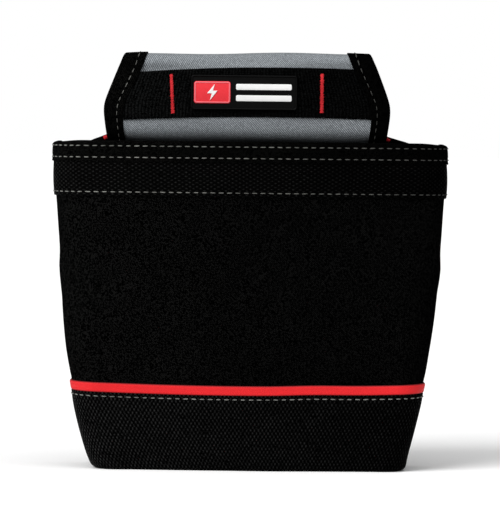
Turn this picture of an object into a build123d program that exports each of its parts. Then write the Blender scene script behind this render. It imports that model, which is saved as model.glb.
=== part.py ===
from build123d import *

import math
import os

# Electrician tool pouch: one open bag of heavy cloth with a belt tunnel above its mouth.
# Millimetres. +Z up, +X to the wearer's left, the back of the pouch towards +Y.
# The origin is under the middle of the whole pouch, on the surface that it stands on.

# Overall sizes.
OVERALL_WIDTH = 250.0
OVERALL_DEPTH = 75.0
OVERALL_HEIGHT = 264.5
RIM_HEIGHT = 208.2
BASE_WIDTH = 193.0
BASE_DEPTH = 60.0
CORNER_RADIUS = 14.0
WIDTH_TAPER_POWER = 2.6
DEPTH_TAPER_POWER = 1.5
WALL_STATIONS = 9
WALL_STATION_BIAS = 1.6

# Cloth, webbing and tape thicknesses.
PANEL_T = 1.6
BACK_T = 1.2
LINING_T = 0.9
STIFFENER_T = 1.5
BASE_CLOTH_T = 1.6
BASE_BOARD_T = 1.5
WEBBING_T = 1.3
BINDING_T = 1.0
BOOT_T = 1.4
TRIM_T = 2.0
SEAM_TAPE_T = 1.0
THREAD_T = 0.3
THREAD_WIDTH = 0.8
FIT_GAP = 0.2

# Bands round the bag, by height.
MOUTH_BINDING_WIDTH = 13.4
WEBBING_BOTTOM = 173.2
WEBBING_TUCK = 3.0
BOOT_HEIGHT = 46.9
TRIM_WIDTH = 5.8
SEAM_TAPE_WIDTH = 10.0
STIFFENER_TOP_DROP = 14.0
UPPER_ROW_DROP = 3.4
LOWER_ROW_DROP = 10.6
WEBBING_ROW_RISE = 2.6
BOOT_ROW_DROP = 2.6

# Neck: the line that the belt tunnel flexes about.
NECK_HEIGHT = 198.0
NECK_ROLL_RADIUS = 1.1
NECK_GAP = 0.5
NECK_HALF_WIDTH = 105.0
CORNER_BINDING_LENGTH = 21.0

# Belt tunnel. It is sewn on a little to one side of the bag's middle.
TUNNEL_CENTRE_X = -2.4
TUNNEL_DEPTH = 17.0
TUNNEL_BELLY_HEIGHT = 218.0
TUNNEL_SEAM_HEIGHT = 203.0
TUNNEL_TOP_RADIUS = 8.0
TUNNEL_BELLY_RADIUS = 16.0
TUNNEL_TOP_WIDTH = 154.6
TUNNEL_WIDEST = 180.8
TUNNEL_WIDEST_HEIGHT = 228.0
TUNNEL_FOOT_WIDTH = 174.6
FLAP_T = 1.2
FLAP_LAP_BOTTOM = 245.0
FLAP_LINING_T = 0.8
TUNNEL_BINDING_WIDTH = 13.0
TUNNEL_ROW_INSET = 7.5
HEM_TAPE_WIDTH = 4.6
SHOULDER_TOP = 214.0
SHOULDER_FOOT = 206.0
BACK_PLY_TOP = 252.0

# Strap, tacks and badge on the front of the tunnel.
STRAP_WIDTH = 31.0
STRAP_BOTTOM = 223.4
STRAP_T = 1.4
STRAP_TUCK = 3.0
TACK_WIDTH = 2.8
TACK_HEIGHT = 25.0
TACK_T = 0.8
TACK_LEFT_X = -51.2
TACK_RIGHT_X = 45.4
CORNER_TACK_LENGTH = 7.0
BADGE_LENGTH = 67.8
BADGE_HEIGHT = 22.2
BADGE_CENTRE_X = -4.4
BADGE_T = 1.8
BADGE_RIM_WIDTH = 1.1
BADGE_RIM_T = 0.7
BADGE_CORNER_RADIUS = 1.6
TILE_LENGTH = 23.4
TILE_HEIGHT = 14.2
TILE_T = 0.7
TILE_INSET = 1.9
MARK_T = 0.4
BAR_LENGTH = 35.6
BAR_THICKNESS = 3.9
BAR_SPACING = 7.2

# Places that follow from the sizes above.
FRONT_Y = -OVERALL_DEPTH / 2
BACK_Y = OVERALL_DEPTH / 2
TUNNEL_BACK_Y = BACK_Y - BINDING_T - THREAD_T
BACK_PLY_OUTER_Y = TUNNEL_BACK_Y - FLAP_T
BACK_PLY_INNER_Y = BACK_PLY_OUTER_Y - BACK_T
BAND_T = WEBBING_T + BINDING_T
RIM_HALF_WIDTH = OVERALL_WIDTH / 2 - BAND_T - THREAD_T
RIM_FRONT_Y = FRONT_Y + BAND_T + THREAD_T
BASE_FRONT_Y = BACK_PLY_OUTER_Y - BASE_DEPTH
CLOTH_TOP = RIM_HEIGHT - BINDING_T
FLAP_TOP = OVERALL_HEIGHT - BINDING_T - THREAD_T
NECK_Y = (BACK_PLY_OUTER_Y + BACK_PLY_INNER_Y) / 2
NECK_CLEAR = NECK_ROLL_RADIUS + NECK_GAP
BINDING_BOTTOM = RIM_HEIGHT - MOUTH_BINDING_WIDTH
TUNNEL_FRONT_Y = TUNNEL_BACK_Y - TUNNEL_DEPTH
STRAP_FACE_Y = TUNNEL_FRONT_Y - STRAP_T
STRAP_MIDDLE = STRAP_BOTTOM + STRAP_WIDTH / 2
BADGE_FACE_Y = STRAP_FACE_Y - BADGE_T
TILE_FACE_Y = BADGE_FACE_Y - TILE_T
BADGE_LEFT_X = BADGE_CENTRE_X - BADGE_LENGTH / 2
BADGE_RIGHT_X = BADGE_CENTRE_X + BADGE_LENGTH / 2
TILE_CENTRE_X = BADGE_LEFT_X + TILE_INSET + TILE_LENGTH / 2
BAR_CENTRE_X = (TILE_CENTRE_X + TILE_LENGTH / 2 + BADGE_RIGHT_X) / 2
FAR = OVERALL_WIDTH + OVERALL_HEIGHT


def block(low, high):
    """A box between two corners."""
    size = [b - a for a, b in zip(low, high)]
    middle = [(a + b) / 2 for a, b in zip(low, high)]
    return Pos(*middle) * Box(*size)


def layer(bottom, top):
    """Everything between two heights."""
    return block((-FAR, -FAR, bottom), (FAR, FAR, top))


def slice_y(front, back):
    """Everything between two depths."""
    return block((-FAR, front, -FAR), (FAR, back, FAR))


def half_space_x(side):
    """Everything on one side of the middle plane: -1 left, +1 right."""
    return block((min(0, side * FAR), -FAR, -FAR), (max(0, side * FAR), FAR, FAR))


def both_sides(right, centre_x):
    """An outline seen from the front, given by its right half, as a block through the depth."""
    outline = [(centre_x + x, z) for x, z in right]
    outline += [(centre_x - x, z) for x, z in reversed(right)]
    return extrude(Plane.XZ * Polygon(*outline, align=None), FAR / 2, both=True)


# The bag's wall.


def half_width(height):
    """Half the cloth's width: it widens fast above the base and hardly at all near the rim."""
    share = (1 - height / RIM_HEIGHT) ** WIDTH_TAPER_POWER
    return RIM_HALF_WIDTH - (RIM_HALF_WIDTH - BASE_WIDTH / 2) * share


def front_face(height):
    """Where the front cloth's outer face stands: further back at the base than at the rim."""
    share = (1 - height / RIM_HEIGHT) ** DEPTH_TAPER_POWER
    return RIM_FRONT_Y + (BASE_FRONT_Y - RIM_FRONT_Y) * share


def wall_outline(height, outset, back):
    """The bag's outline at one height: flat back, straight sides, rounded front corners."""
    half = half_width(height) + outset
    front = front_face(height) - outset
    radius = CORNER_RADIUS + outset
    dip = radius * (1 - math.sqrt(0.5))
    points = [
        (-half, back),
        (-half, front + radius),
        (-half + dip, front + dip),
        (-half + radius, front),
        (half - radius, front),
        (half - dip, front + dip),
        (half, front + radius),
        (half, back),
    ]
    p = [(x, y, height) for x, y in points]
    return Wire(
        [
            Edge.make_line(p[0], p[1]),
            Edge.make_three_point_arc(p[1], p[2], p[3]),
            Edge.make_line(p[3], p[4]),
            Edge.make_three_point_arc(p[4], p[5], p[6]),
            Edge.make_line(p[6], p[7]),
            Edge.make_line(p[7], p[0]),
        ]
    )


def bag_block(outset, back):
    """The bag as one block, moved out by outset, from the floor to the rim."""
    steps = [i / (WALL_STATIONS - 1) for i in range(WALL_STATIONS)]
    heights = [RIM_HEIGHT * step**WALL_STATION_BIAS for step in steps]
    return Solid.make_loft([wall_outline(z, outset, back) for z in heights], ruled=True)


def wall_band(outer, inner, bottom, top):
    """A band of cloth round the front and sides, open at the back, between two outsets."""
    back = BACK_PLY_INNER_Y
    ring = bag_block(outer, back) - bag_block(inner, back + BACK_T)
    return ring & layer(bottom, top)


def front_panel():
    return wall_band(0, -PANEL_T, BASE_CLOTH_T, CLOTH_TOP)


def mouth_webbing():
    return wall_band(WEBBING_T, 0, WEBBING_BOTTOM, RIM_HEIGHT - WEBBING_TUCK)


def mouth_binding(front, webbing):
    """Tape folded over the rim, down the outside and the inside."""
    wrap = wall_band(BAND_T, -PANEL_T - BINDING_T, BINDING_BOTTOM, RIM_HEIGHT)
    return wrap - front - webbing


def boot_panel():
    return wall_band(BOOT_T, 0, BASE_CLOTH_T, BOOT_HEIGHT)


def red_trim():
    return wall_band(TRIM_T, 0, BOOT_HEIGHT, BOOT_HEIGHT + TRIM_WIDTH)


def wall_thread(outset, height):
    """One row of stitching round the bag, as a thin raised line on the band at outset."""
    half = THREAD_WIDTH / 2
    return wall_band(outset + THREAD_T, outset, height - half, height + half)


def bottom_panel():
    return bag_block(BOOT_T, BACK_PLY_OUTER_Y) & layer(0, BASE_CLOTH_T)


def base_board():
    back = BACK_PLY_INNER_Y - STIFFENER_T - LINING_T - FIT_GAP
    board = bag_block(-PANEL_T - FIT_GAP, back)
    # The walls lean out, so the board is cut square at the size that its underside has.
    floor = board & layer(BASE_CLOTH_T, BASE_CLOTH_T + FIT_GAP)
    outline = floor.faces().sort_by(Axis.Z)[0]
    return extrude(outline, BASE_BOARD_T, dir=(0, 0, 1))


# The bag's back.


def back_sheet(outset, front, back, bottom, top):
    """A flat sheet with the bag's outline, between two depths and two heights."""
    return bag_block(outset, back) & slice_y(front, back) & layer(bottom, top)


def back_panel():
    """Cloth up to the rim at its two corners, and to the neck between them."""
    sheet = back_sheet(0, BACK_PLY_INNER_Y, BACK_PLY_OUTER_Y, BASE_CLOTH_T, CLOTH_TOP)
    reach = NECK_HALF_WIDTH + NECK_GAP
    above_neck = block((-reach, -FAR, NECK_HEIGHT - NECK_CLEAR), (reach, FAR, FAR))
    return sheet - above_neck


def back_stiffener():
    back = BACK_PLY_INNER_Y
    top = NECK_HEIGHT - STIFFENER_TOP_DROP
    return back_sheet(-PANEL_T - FIT_GAP, back - STIFFENER_T, back, BASE_CLOTH_T, top)


def back_lining():
    back = BACK_PLY_INNER_Y - STIFFENER_T
    top = NECK_HEIGHT - STIFFENER_TOP_DROP
    return back_sheet(-PANEL_T - FIT_GAP, back - LINING_T, back, BASE_CLOTH_T, top)


def side_seam_tape(side):
    """Tape over the raw seam inside one back corner."""
    back = BACK_PLY_INNER_Y - STIFFENER_T - LINING_T
    bottom = BASE_CLOTH_T + BASE_BOARD_T + FIT_GAP
    top = BINDING_BOTTOM - FIT_GAP
    tape = wall_band(-PANEL_T, -PANEL_T - SEAM_TAPE_T, bottom, top)
    return tape & slice_y(back - SEAM_TAPE_WIDTH, back) & half_space_x(side)


def corner_binding(side, panel):
    """Tape folded over a top corner of the back panel, between the tunnel and the side seam."""
    inner = NECK_HALF_WIDTH + NECK_GAP
    outer = half_width(BINDING_BOTTOM) - PANEL_T - BINDING_T - FIT_GAP
    bottom = RIM_HEIGHT - CORNER_BINDING_LENGTH
    low = (min(side * inner, side * outer), BACK_PLY_INNER_Y - BINDING_T, bottom)
    high = (max(side * inner, side * outer), BACK_PLY_OUTER_Y + BINDING_T, RIM_HEIGHT)
    return block(low, high) - panel


def neck_seam_roll():
    """The rolled seam on the neck line, round so that both sides turn about it freely."""
    roll = Cylinder(NECK_ROLL_RADIUS, 2 * NECK_HALF_WIDTH, rotation=(0, 90, 0))
    return Pos(0, NECK_Y, NECK_HEIGHT) * roll


# The belt tunnel.


def tunnel_loop(outset):
    """The tunnel's side outline as a face: flat back, round top, belly and a narrow foot."""
    foot_y = BACK_PLY_INNER_Y - FLAP_LINING_T - FLAP_T
    corners = [
        (TUNNEL_BACK_Y, TUNNEL_SEAM_HEIGHT),
        (TUNNEL_BACK_Y, FLAP_TOP),
        (TUNNEL_FRONT_Y, FLAP_TOP),
        (TUNNEL_FRONT_Y, TUNNEL_BELLY_HEIGHT),
        (foot_y, TUNNEL_SEAM_HEIGHT),
    ]
    outline = Polygon(*corners, align=None)
    top_corners = outline.vertices().filter_by(lambda v: abs(v.Y - FLAP_TOP) < 0.01)
    outline = fillet(top_corners, TUNNEL_TOP_RADIUS)
    belly = outline.vertices().sort_by_distance((TUNNEL_FRONT_Y, TUNNEL_BELLY_HEIGHT))[0]
    outline = fillet(belly, TUNNEL_BELLY_RADIUS)
    if outset:
        outline = offset(outline, outset, kind=Kind.INTERSECTION)
    return outline


def tunnel_block(outset):
    """The tunnel's side outline carried across the whole width."""
    return extrude(Plane.YZ * tunnel_loop(outset), FAR / 2, both=True)


def tunnel_front_outline(inset):
    """The tunnel seen from the front, as a block through its depth, moved in by inset."""
    slope = (TUNNEL_WIDEST - TUNNEL_TOP_WIDTH) / (OVERALL_HEIGHT - TUNNEL_WIDEST_HEIGHT) / 2
    above = OVERALL_HEIGHT + STRAP_WIDTH
    top_half = TUNNEL_TOP_WIDTH / 2 - slope * STRAP_WIDTH
    halves = [
        (TUNNEL_FOOT_WIDTH / 2, TUNNEL_SEAM_HEIGHT - BINDING_T),
        (TUNNEL_WIDEST / 2, TUNNEL_WIDEST_HEIGHT),
        (top_half, above),
    ]
    return both_sides([(half - inset, z) for half, z in halves], TUNNEL_CENTRE_X)


def tunnel_ring(outer, inner):
    return tunnel_block(outer) - tunnel_block(inner)


def tunnel_flap():
    """Grey cloth: up the front, over the top and down the back to a lapped seam."""
    back_below_lap = slice_y(BACK_PLY_OUTER_Y - FIT_GAP, FAR) & layer(-FAR, FLAP_LAP_BOTTOM)
    ring = tunnel_ring(0, -FLAP_T) & layer(TUNNEL_SEAM_HEIGHT + FLAP_T, FAR)
    return (ring - back_below_lap) & tunnel_front_outline(0)


def shoulder_panel():
    """Black cloth from the neck up the back of the tunnel, wide at the shoulders."""
    foot = NECK_HEIGHT + NECK_CLEAR
    shoulder = NECK_HALF_WIDTH - (SHOULDER_TOP - SHOULDER_FOOT) / 2
    top_half = TUNNEL_TOP_WIDTH / 2
    lower = [
        (NECK_HALF_WIDTH, foot),
        (NECK_HALF_WIDTH, SHOULDER_FOOT),
        (shoulder, (SHOULDER_FOOT + SHOULDER_TOP) / 2),
        (TUNNEL_FOOT_WIDTH / 2, SHOULDER_TOP),
    ]
    upper = [
        (TUNNEL_FOOT_WIDTH / 2, foot),
        (TUNNEL_WIDEST / 2, SHOULDER_TOP),
        (TUNNEL_WIDEST / 2, TUNNEL_WIDEST_HEIGHT),
        (top_half, BACK_PLY_TOP),
    ]
    sheet = both_sides(lower, 0) + both_sides(upper, TUNNEL_CENTRE_X)
    return sheet & slice_y(BACK_PLY_INNER_Y, BACK_PLY_OUTER_Y)


def tunnel_lining():
    """Black cloth that lines the inside of the flap's front."""
    ring = tunnel_ring(-FLAP_T, -FLAP_T - FLAP_LINING_T)
    front = slice_y(-FAR, BACK_PLY_INNER_Y) & layer(TUNNEL_SEAM_HEIGHT + 2 * FLAP_T, FAR)
    return ring & front & tunnel_front_outline(0)


def front_strap():
    """Webbing across the front of the tunnel, its ends under the side bindings."""
    ring = tunnel_ring(STRAP_T, 0) & slice_y(-FAR, TUNNEL_FRONT_Y + TUNNEL_DEPTH / 2)
    band = ring & layer(STRAP_BOTTOM, STRAP_BOTTOM + STRAP_WIDTH)
    return band & tunnel_front_outline(TUNNEL_BINDING_WIDTH - STRAP_TUCK)


def edge_wrap(side, outer, inner, edge_from, edge_to):
    """A skin over one end of the tunnel, raised where the strap runs under it."""
    tape = tunnel_ring(outer, inner) & layer(TUNNEL_SEAM_HEIGHT + FLAP_T, FAR)
    over_strap = tunnel_ring(STRAP_T + outer, inner) & slice_y(-FAR, TUNNEL_FRONT_Y)
    over_strap &= layer(STRAP_BOTTOM - outer, STRAP_BOTTOM + STRAP_WIDTH + outer)
    edge = tunnel_front_outline(edge_from) - tunnel_front_outline(edge_to)
    return (tape + over_strap) & edge & half_space_x(side)


def tunnel_binding(side, inside_pieces):
    """Tape folded over one open end of the tunnel, over the strap's end too."""
    inner = -FLAP_T - BACK_T - BINDING_T
    wrap = edge_wrap(side, BINDING_T, inner, -BINDING_T, TUNNEL_BINDING_WIDTH)
    for piece in inside_pieces:
        wrap -= piece
    return max(wrap.solids(), key=lambda solid: solid.volume)


def tunnel_thread(side):
    """The row of stitching along one side binding, front, top and back."""
    half = THREAD_WIDTH / 2
    first, last = TUNNEL_ROW_INSET - half, TUNNEL_ROW_INSET + half
    row = edge_wrap(side, BINDING_T + THREAD_T, 0, first, last)
    row -= edge_wrap(side, BINDING_T, -THREAD_T, first - THREAD_T, last + THREAD_T)
    return row & slice_y(-FAR, BACK_Y) & layer(TUNNEL_SEAM_HEIGHT + FLAP_T + FIT_GAP, FAR)


def flap_hem_tape(flap):
    """Tape over the flap's lower edge, where it is sewn down inside the mouth."""
    bottom = TUNNEL_SEAM_HEIGHT + FLAP_T
    tape = tunnel_ring(BINDING_T, 0) & slice_y(-FAR, BACK_PLY_INNER_Y)
    tape &= layer(bottom, bottom + HEM_TAPE_WIDTH)
    return (tape & tunnel_front_outline(TUNNEL_BINDING_WIDTH + FIT_GAP)) - flap


def strap_tack(x):
    """A dense bar of thread across the strap."""
    low = (x - TACK_WIDTH / 2, STRAP_FACE_Y - TACK_T, STRAP_MIDDLE - TACK_HEIGHT / 2)
    high = (x + TACK_WIDTH / 2, STRAP_FACE_Y, STRAP_MIDDLE + TACK_HEIGHT / 2)
    return block(low, high)


def corner_tack(side):
    """A bar of thread where the shoulder meets the tunnel's binding."""
    inner = TUNNEL_CENTRE_X + side * (TUNNEL_WIDEST / 2 + BINDING_T + FIT_GAP)
    outer = inner + side * CORNER_TACK_LENGTH
    face = BACK_PLY_INNER_Y
    low = (min(inner, outer), face - TACK_T, SHOULDER_FOOT)
    high = (max(inner, outer), face, SHOULDER_FOOT + TACK_WIDTH)
    return block(low, high)


# The badge on the strap, with a plain lightning bolt and two plain bars.


def badge_plate(length, height, centre_x, back_y, thickness, radius):
    """A flat plate with round corners that stands on the face at back_y."""
    outline = RectangleRounded(length, height, radius)
    plate = extrude(outline, thickness)
    return Pos(centre_x, back_y, STRAP_MIDDLE) * Rot(90, 0, 0) * plate


def badge_base():
    return badge_plate(
        BADGE_LENGTH, BADGE_HEIGHT, BADGE_CENTRE_X, STRAP_FACE_Y, BADGE_T, BADGE_CORNER_RADIUS
    )


def badge_rim():
    outer = badge_plate(
        BADGE_LENGTH, BADGE_HEIGHT, BADGE_CENTRE_X, BADGE_FACE_Y, BADGE_RIM_T, BADGE_CORNER_RADIUS
    )
    inner = badge_plate(
        BADGE_LENGTH - 2 * BADGE_RIM_WIDTH,
        BADGE_HEIGHT - 2 * BADGE_RIM_WIDTH,
        BADGE_CENTRE_X,
        BADGE_FACE_Y,
        BADGE_RIM_T,
        BADGE_CORNER_RADIUS - BADGE_RIM_WIDTH / 2,
    )
    return outer - inner


def badge_tile():
    return badge_plate(
        TILE_LENGTH, TILE_HEIGHT, TILE_CENTRE_X, BADGE_FACE_Y, TILE_T, BADGE_CORNER_RADIUS
    )


def badge_bolt():
    """A plain lightning bolt, as on any electrical warning plate, drawn to the tile's height."""
    reach = TILE_HEIGHT * 0.38
    zigzag = [
        (0.30, 1.00),
        (-0.62, -0.12),
        (-0.06, -0.12),
        (-0.30, -1.00),
        (0.62, 0.20),
        (0.06, 0.20),
    ]
    outline = Polygon(*[(x * reach, y * reach) for x, y in zigzag], align=None)
    bolt = extrude(outline, MARK_T)
    return Pos(TILE_CENTRE_X, TILE_FACE_Y, STRAP_MIDDLE) * Rot(90, 0, 0) * bolt


def badge_bar(side):
    """One of the two plain bars beside the tile: +1 upper, -1 lower."""
    low = (-BAR_LENGTH / 2, -MARK_T, -BAR_THICKNESS / 2)
    high = (BAR_LENGTH / 2, 0, BAR_THICKNESS / 2)
    return Pos(BAR_CENTRE_X, BADGE_FACE_Y, STRAP_MIDDLE + side * BAR_SPACING / 2) * block(low, high)


def build():
    """Every piece, by its node's name."""
    nodes = {
        "front_panel": front_panel(),
        "mouth_webbing": mouth_webbing(),
        "boot_panel": boot_panel(),
        "red_trim": red_trim(),
        "mouth_thread_upper": wall_thread(BAND_T, RIM_HEIGHT - UPPER_ROW_DROP),
        "mouth_thread_lower": wall_thread(BAND_T, RIM_HEIGHT - LOWER_ROW_DROP),
        "webbing_thread": wall_thread(WEBBING_T, WEBBING_BOTTOM + WEBBING_ROW_RISE),
        "boot_thread": wall_thread(BOOT_T, BOOT_HEIGHT - BOOT_ROW_DROP),
        "bottom_panel": bottom_panel(),
        "base_board": base_board(),
        "back_panel": back_panel(),
        "back_stiffener": back_stiffener(),
        "back_lining": back_lining(),
        "side_seam_tape_left": side_seam_tape(-1),
        "side_seam_tape_right": side_seam_tape(1),
        "neck_seam_roll": neck_seam_roll(),
        "shoulder_panel": shoulder_panel(),
        "tunnel_flap": tunnel_flap(),
        "tunnel_lining": tunnel_lining(),
        "front_strap": front_strap(),
        "strap_tack_left": strap_tack(TACK_LEFT_X),
        "strap_tack_right": strap_tack(TACK_RIGHT_X),
        "corner_tack_left": corner_tack(-1),
        "corner_tack_right": corner_tack(1),
        "badge_base": badge_base(),
        "badge_rim": badge_rim(),
        "badge_tile": badge_tile(),
        "badge_bolt": badge_bolt(),
        "badge_bar_upper": badge_bar(1),
        "badge_bar_lower": badge_bar(-1),
    }
    nodes["mouth_binding"] = mouth_binding(nodes["front_panel"], nodes["mouth_webbing"])
    nodes["flap_hem_tape"] = flap_hem_tape(nodes["tunnel_flap"])
    wrapped = [
        nodes[name]
        for name in ("tunnel_flap", "tunnel_lining", "shoulder_panel", "front_strap", "flap_hem_tape")
    ]
    for name, side in (("left", -1), ("right", 1)):
        nodes[f"corner_binding_{name}"] = corner_binding(side, nodes["back_panel"])
        nodes[f"tunnel_binding_{name}"] = tunnel_binding(side, wrapped)
        nodes[f"tunnel_thread_{name}"] = tunnel_thread(side)
    return nodes


os.makedirs("parts", exist_ok=True)
for node_name, shape in build().items():
    export_step(shape, f"parts/{node_name}.step")
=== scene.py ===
"""Electrician tool pouch: cloth, webbing, tape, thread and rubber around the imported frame.

Every length is in metres and every piece is built in place, in the frame's own axes: +Z up,
the front of the pouch towards -Y, +X to the right as the front is seen.

A soft piece is a closed outline (a Section) carried along a path over one of three shapes:
the bag's wall, the loop of the belt tunnel, or the flat back.
"""

import logging
import math
from dataclasses import dataclass, field
from enum import Enum
from typing import Callable, Optional, Sequence

import bpy
import numpy as np
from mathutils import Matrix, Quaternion, Vector


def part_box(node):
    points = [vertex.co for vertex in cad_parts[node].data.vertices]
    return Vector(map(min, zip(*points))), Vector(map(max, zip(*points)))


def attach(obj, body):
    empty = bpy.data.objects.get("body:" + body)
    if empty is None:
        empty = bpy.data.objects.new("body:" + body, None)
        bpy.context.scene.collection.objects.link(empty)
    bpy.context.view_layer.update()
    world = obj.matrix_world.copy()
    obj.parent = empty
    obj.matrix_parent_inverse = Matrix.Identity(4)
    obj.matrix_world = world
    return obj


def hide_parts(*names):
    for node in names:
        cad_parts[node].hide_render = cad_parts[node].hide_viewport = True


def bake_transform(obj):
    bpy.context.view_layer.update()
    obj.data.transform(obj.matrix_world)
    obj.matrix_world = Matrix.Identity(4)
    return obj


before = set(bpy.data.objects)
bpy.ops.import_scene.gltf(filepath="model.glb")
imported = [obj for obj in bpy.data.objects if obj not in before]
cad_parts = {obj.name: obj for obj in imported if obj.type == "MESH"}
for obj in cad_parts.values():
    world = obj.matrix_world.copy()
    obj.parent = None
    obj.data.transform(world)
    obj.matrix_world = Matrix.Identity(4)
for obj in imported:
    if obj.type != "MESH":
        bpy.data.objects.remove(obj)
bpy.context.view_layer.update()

LOG = logging.getLogger("pouch")
MM = 0.001
TAU = 2.0 * math.pi

Array = np.ndarray
Colour = tuple[float, float, float]
Place = Callable[[Array, Array, Array], Array]

PANEL_T = 1.6 * MM
BACK_T = 1.2 * MM
WEBBING_T = 1.3 * MM
BINDING_T = 1.0 * MM
BOOT_T = 1.4 * MM
FLAP_T = 1.2 * MM
FLAP_LINING_T = 0.8 * MM
STRAP_T = 1.4 * MM
SEAM_TAPE_T = 1.0 * MM


# ---------------------------------------------------------------------------
# Small numeric helpers
# ---------------------------------------------------------------------------


def smooth(value: Array, start: float, end: float) -> Array:
    """A step from 0 at start to 1 at end, with level ends: 3t^2 - 2t^3.

    Args:
        value: Where the step is read.
        start: Where it leaves 0.
        end: Where it reaches 1.

    Returns:
        The step's height at each value.
    """
    t = np.clip((value - start) / (end - start), 0.0, 1.0)
    return t * t * (3.0 - 2.0 * t)


def bell(value: Array, centre: float, width: float) -> Array:
    """A bell that is 1 at centre and falls to 1/e at width: exp(-((v - c) / w)^2)."""
    return np.exp(-(((value - centre) / width) ** 2))


def rounded_path(points: Sequence[Sequence[float]], radii: Sequence[float]) -> Array:
    """A polyline with its inner corners replaced by tangent arcs, as closely spaced points.

    Each corner is cut back by radius * tan(turn / 2) on both sides, and the arc swings from the
    incoming direction to the outgoing one about its own centre.

    Args:
        points: The polyline's corners, two numbers each.
        radii: One radius for each inner corner.

    Returns:
        Points along the path, shaped (n, 2).
    """
    corners = np.asarray(points, float)
    pieces = [corners[:1]]
    for index, radius in enumerate(radii, start=1):
        before, here, after = corners[index - 1 : index + 2]
        into = (here - before) / np.linalg.norm(here - before)
        away = (after - here) / np.linalg.norm(after - here)
        turn = math.atan2(into[0] * away[1] - into[1] * away[0], float(into @ away))
        start = here - into * radius * math.tan(abs(turn) / 2.0)
        inward = np.array([-into[1], into[0]]) * math.copysign(1.0, turn)
        swing = np.linspace(0.0, abs(turn), 17)[:, None]
        pieces.append(start + radius * (np.sin(swing) * into + (1.0 - np.cos(swing)) * inward))
    pieces.append(corners[-1:])
    return np.concatenate(pieces)


def along(path: Array) -> Array:
    """The distance from a path's first point to each of its points."""
    steps = np.linalg.norm(np.diff(path, axis=0), axis=1)
    return np.concatenate([[0.0], np.cumsum(steps)])


def left_normals(path: Array) -> Array:
    """Unit normals on the left of a path in a plane, from its central differences.

    Args:
        path: Points in order, shaped (n, 2).

    Returns:
        One unit normal for each point.
    """
    direction = np.gradient(path, axis=0)
    direction /= np.linalg.norm(direction, axis=1, keepdims=True)
    return np.stack([-direction[:, 1], direction[:, 0]], axis=1)


def inward_normals(outline: Array) -> Array:
    """Unit normals pointing into a closed anticlockwise outline, from its central differences.

    Args:
        outline: Points in order round the outline, shaped (n, 2).

    Returns:
        One unit normal for each point.
    """
    direction = np.roll(outline, -1, 0) - np.roll(outline, 1, 0)
    direction /= np.linalg.norm(direction, axis=1, keepdims=True)
    return np.stack([-direction[:, 1], direction[:, 0]], -1)


def grid_quads(rows: int, size: int, closed: bool = False) -> Array:
    """Quads between neighbouring rows of points, each row closed on itself.

    Quad (i, j) has the corners (i, j), (i + 1, j), (i + 1, j + 1) and (i, j + 1), and point
    (i, j) is number i * size + j.

    Args:
        rows: How many rows there are.
        size: How many points each row has.
        closed: True if the last row joins the first.

    Returns:
        Point numbers, shaped (quads, 4).
    """
    i, j = np.meshgrid(np.arange(rows if closed else rows - 1), np.arange(size), indexing="ij")
    n, k = (i + 1) % rows, (j + 1) % size
    return np.stack([i * size + j, n * size + j, n * size + k, i * size + k], -1).reshape(-1, 4)


def by_corner(values: Array, faces: list) -> Array:
    """Each face corner's own row of an array that has one row for each point."""
    return values[np.concatenate([np.asarray(face) for face in faces])]


# ---------------------------------------------------------------------------
# Sections and the surfaces that they sweep
# ---------------------------------------------------------------------------


@dataclass(frozen=True)
class Section:
    """A closed outline: from one rounded tip along the outer side to the other, and back.

    Attributes:
        across: First coordinate of each point: a height, or a distance over the cloth.
        out: Second coordinate: how far the point stands out from the cloth's face.
        measure: Distance along the middle line, for the weave.
    """

    across: Array
    out: Array
    measure: Array

    @classmethod
    def strip(
        cls,
        points: Sequence[Sequence[float]],
        thickness: float,
        step: float,
        radii: Sequence[float] = (),
        tip: Optional[float] = None,
    ) -> "Section":
        """A strip of even thickness along a rounded middle line, with rounded edges.

        The half thickness is t/2 * sqrt(1 - (1 - d/tip)^2), where d is the distance to the
        nearer end, so both edges close in a quarter of an ellipse.

        Args:
            points: Corners of the middle line, as (across, out).
            thickness: The strip's thickness.
            step: Spacing of the points away from the edges.
            radii: One radius for each inner corner of the middle line.
            tip: Length of each rounded edge; half the thickness if left out.

        Returns:
            The strip's section.
        """
        line = rounded_path(points, radii)
        station = along(line)
        length = station[-1]
        reach = thickness / 2.0 if tip is None else tip
        closing = reach * (1.0 - np.cos(np.linspace(0.0, math.pi / 2.0, 5)))
        count = max(2, math.ceil((length - 2.0 * reach) / step) + 1)
        body = np.linspace(reach, length - reach, count)
        bends = station[1:-1] if len(radii) else np.empty(0)
        stops = np.concatenate([closing, body, length - closing, bends])
        stops = np.unique(np.round(stops, 7))
        keep = np.concatenate([[True], np.diff(stops) > 2e-5])
        keep[-1] = True
        stops = stops[keep]
        middle = np.stack([np.interp(stops, station, line[:, k]) for k in (0, 1)], axis=1)
        normal = left_normals(middle)
        near_end = np.clip(np.minimum(stops, length - stops) / reach, 0.0, 1.0)
        half = thickness / 2.0 * np.sqrt(1.0 - (1.0 - near_end) ** 2)
        outside = middle + normal * half[:, None]
        inside = (middle - normal * half[:, None])[-2:0:-1]
        ring = np.concatenate([outside, inside])
        measure = np.concatenate([stops, stops[-2:0:-1]])
        return cls(ring[:, 0], ring[:, 1], measure)

    @property
    def size(self) -> int:
        """How many points the outline has."""
        return len(self.across)


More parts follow.
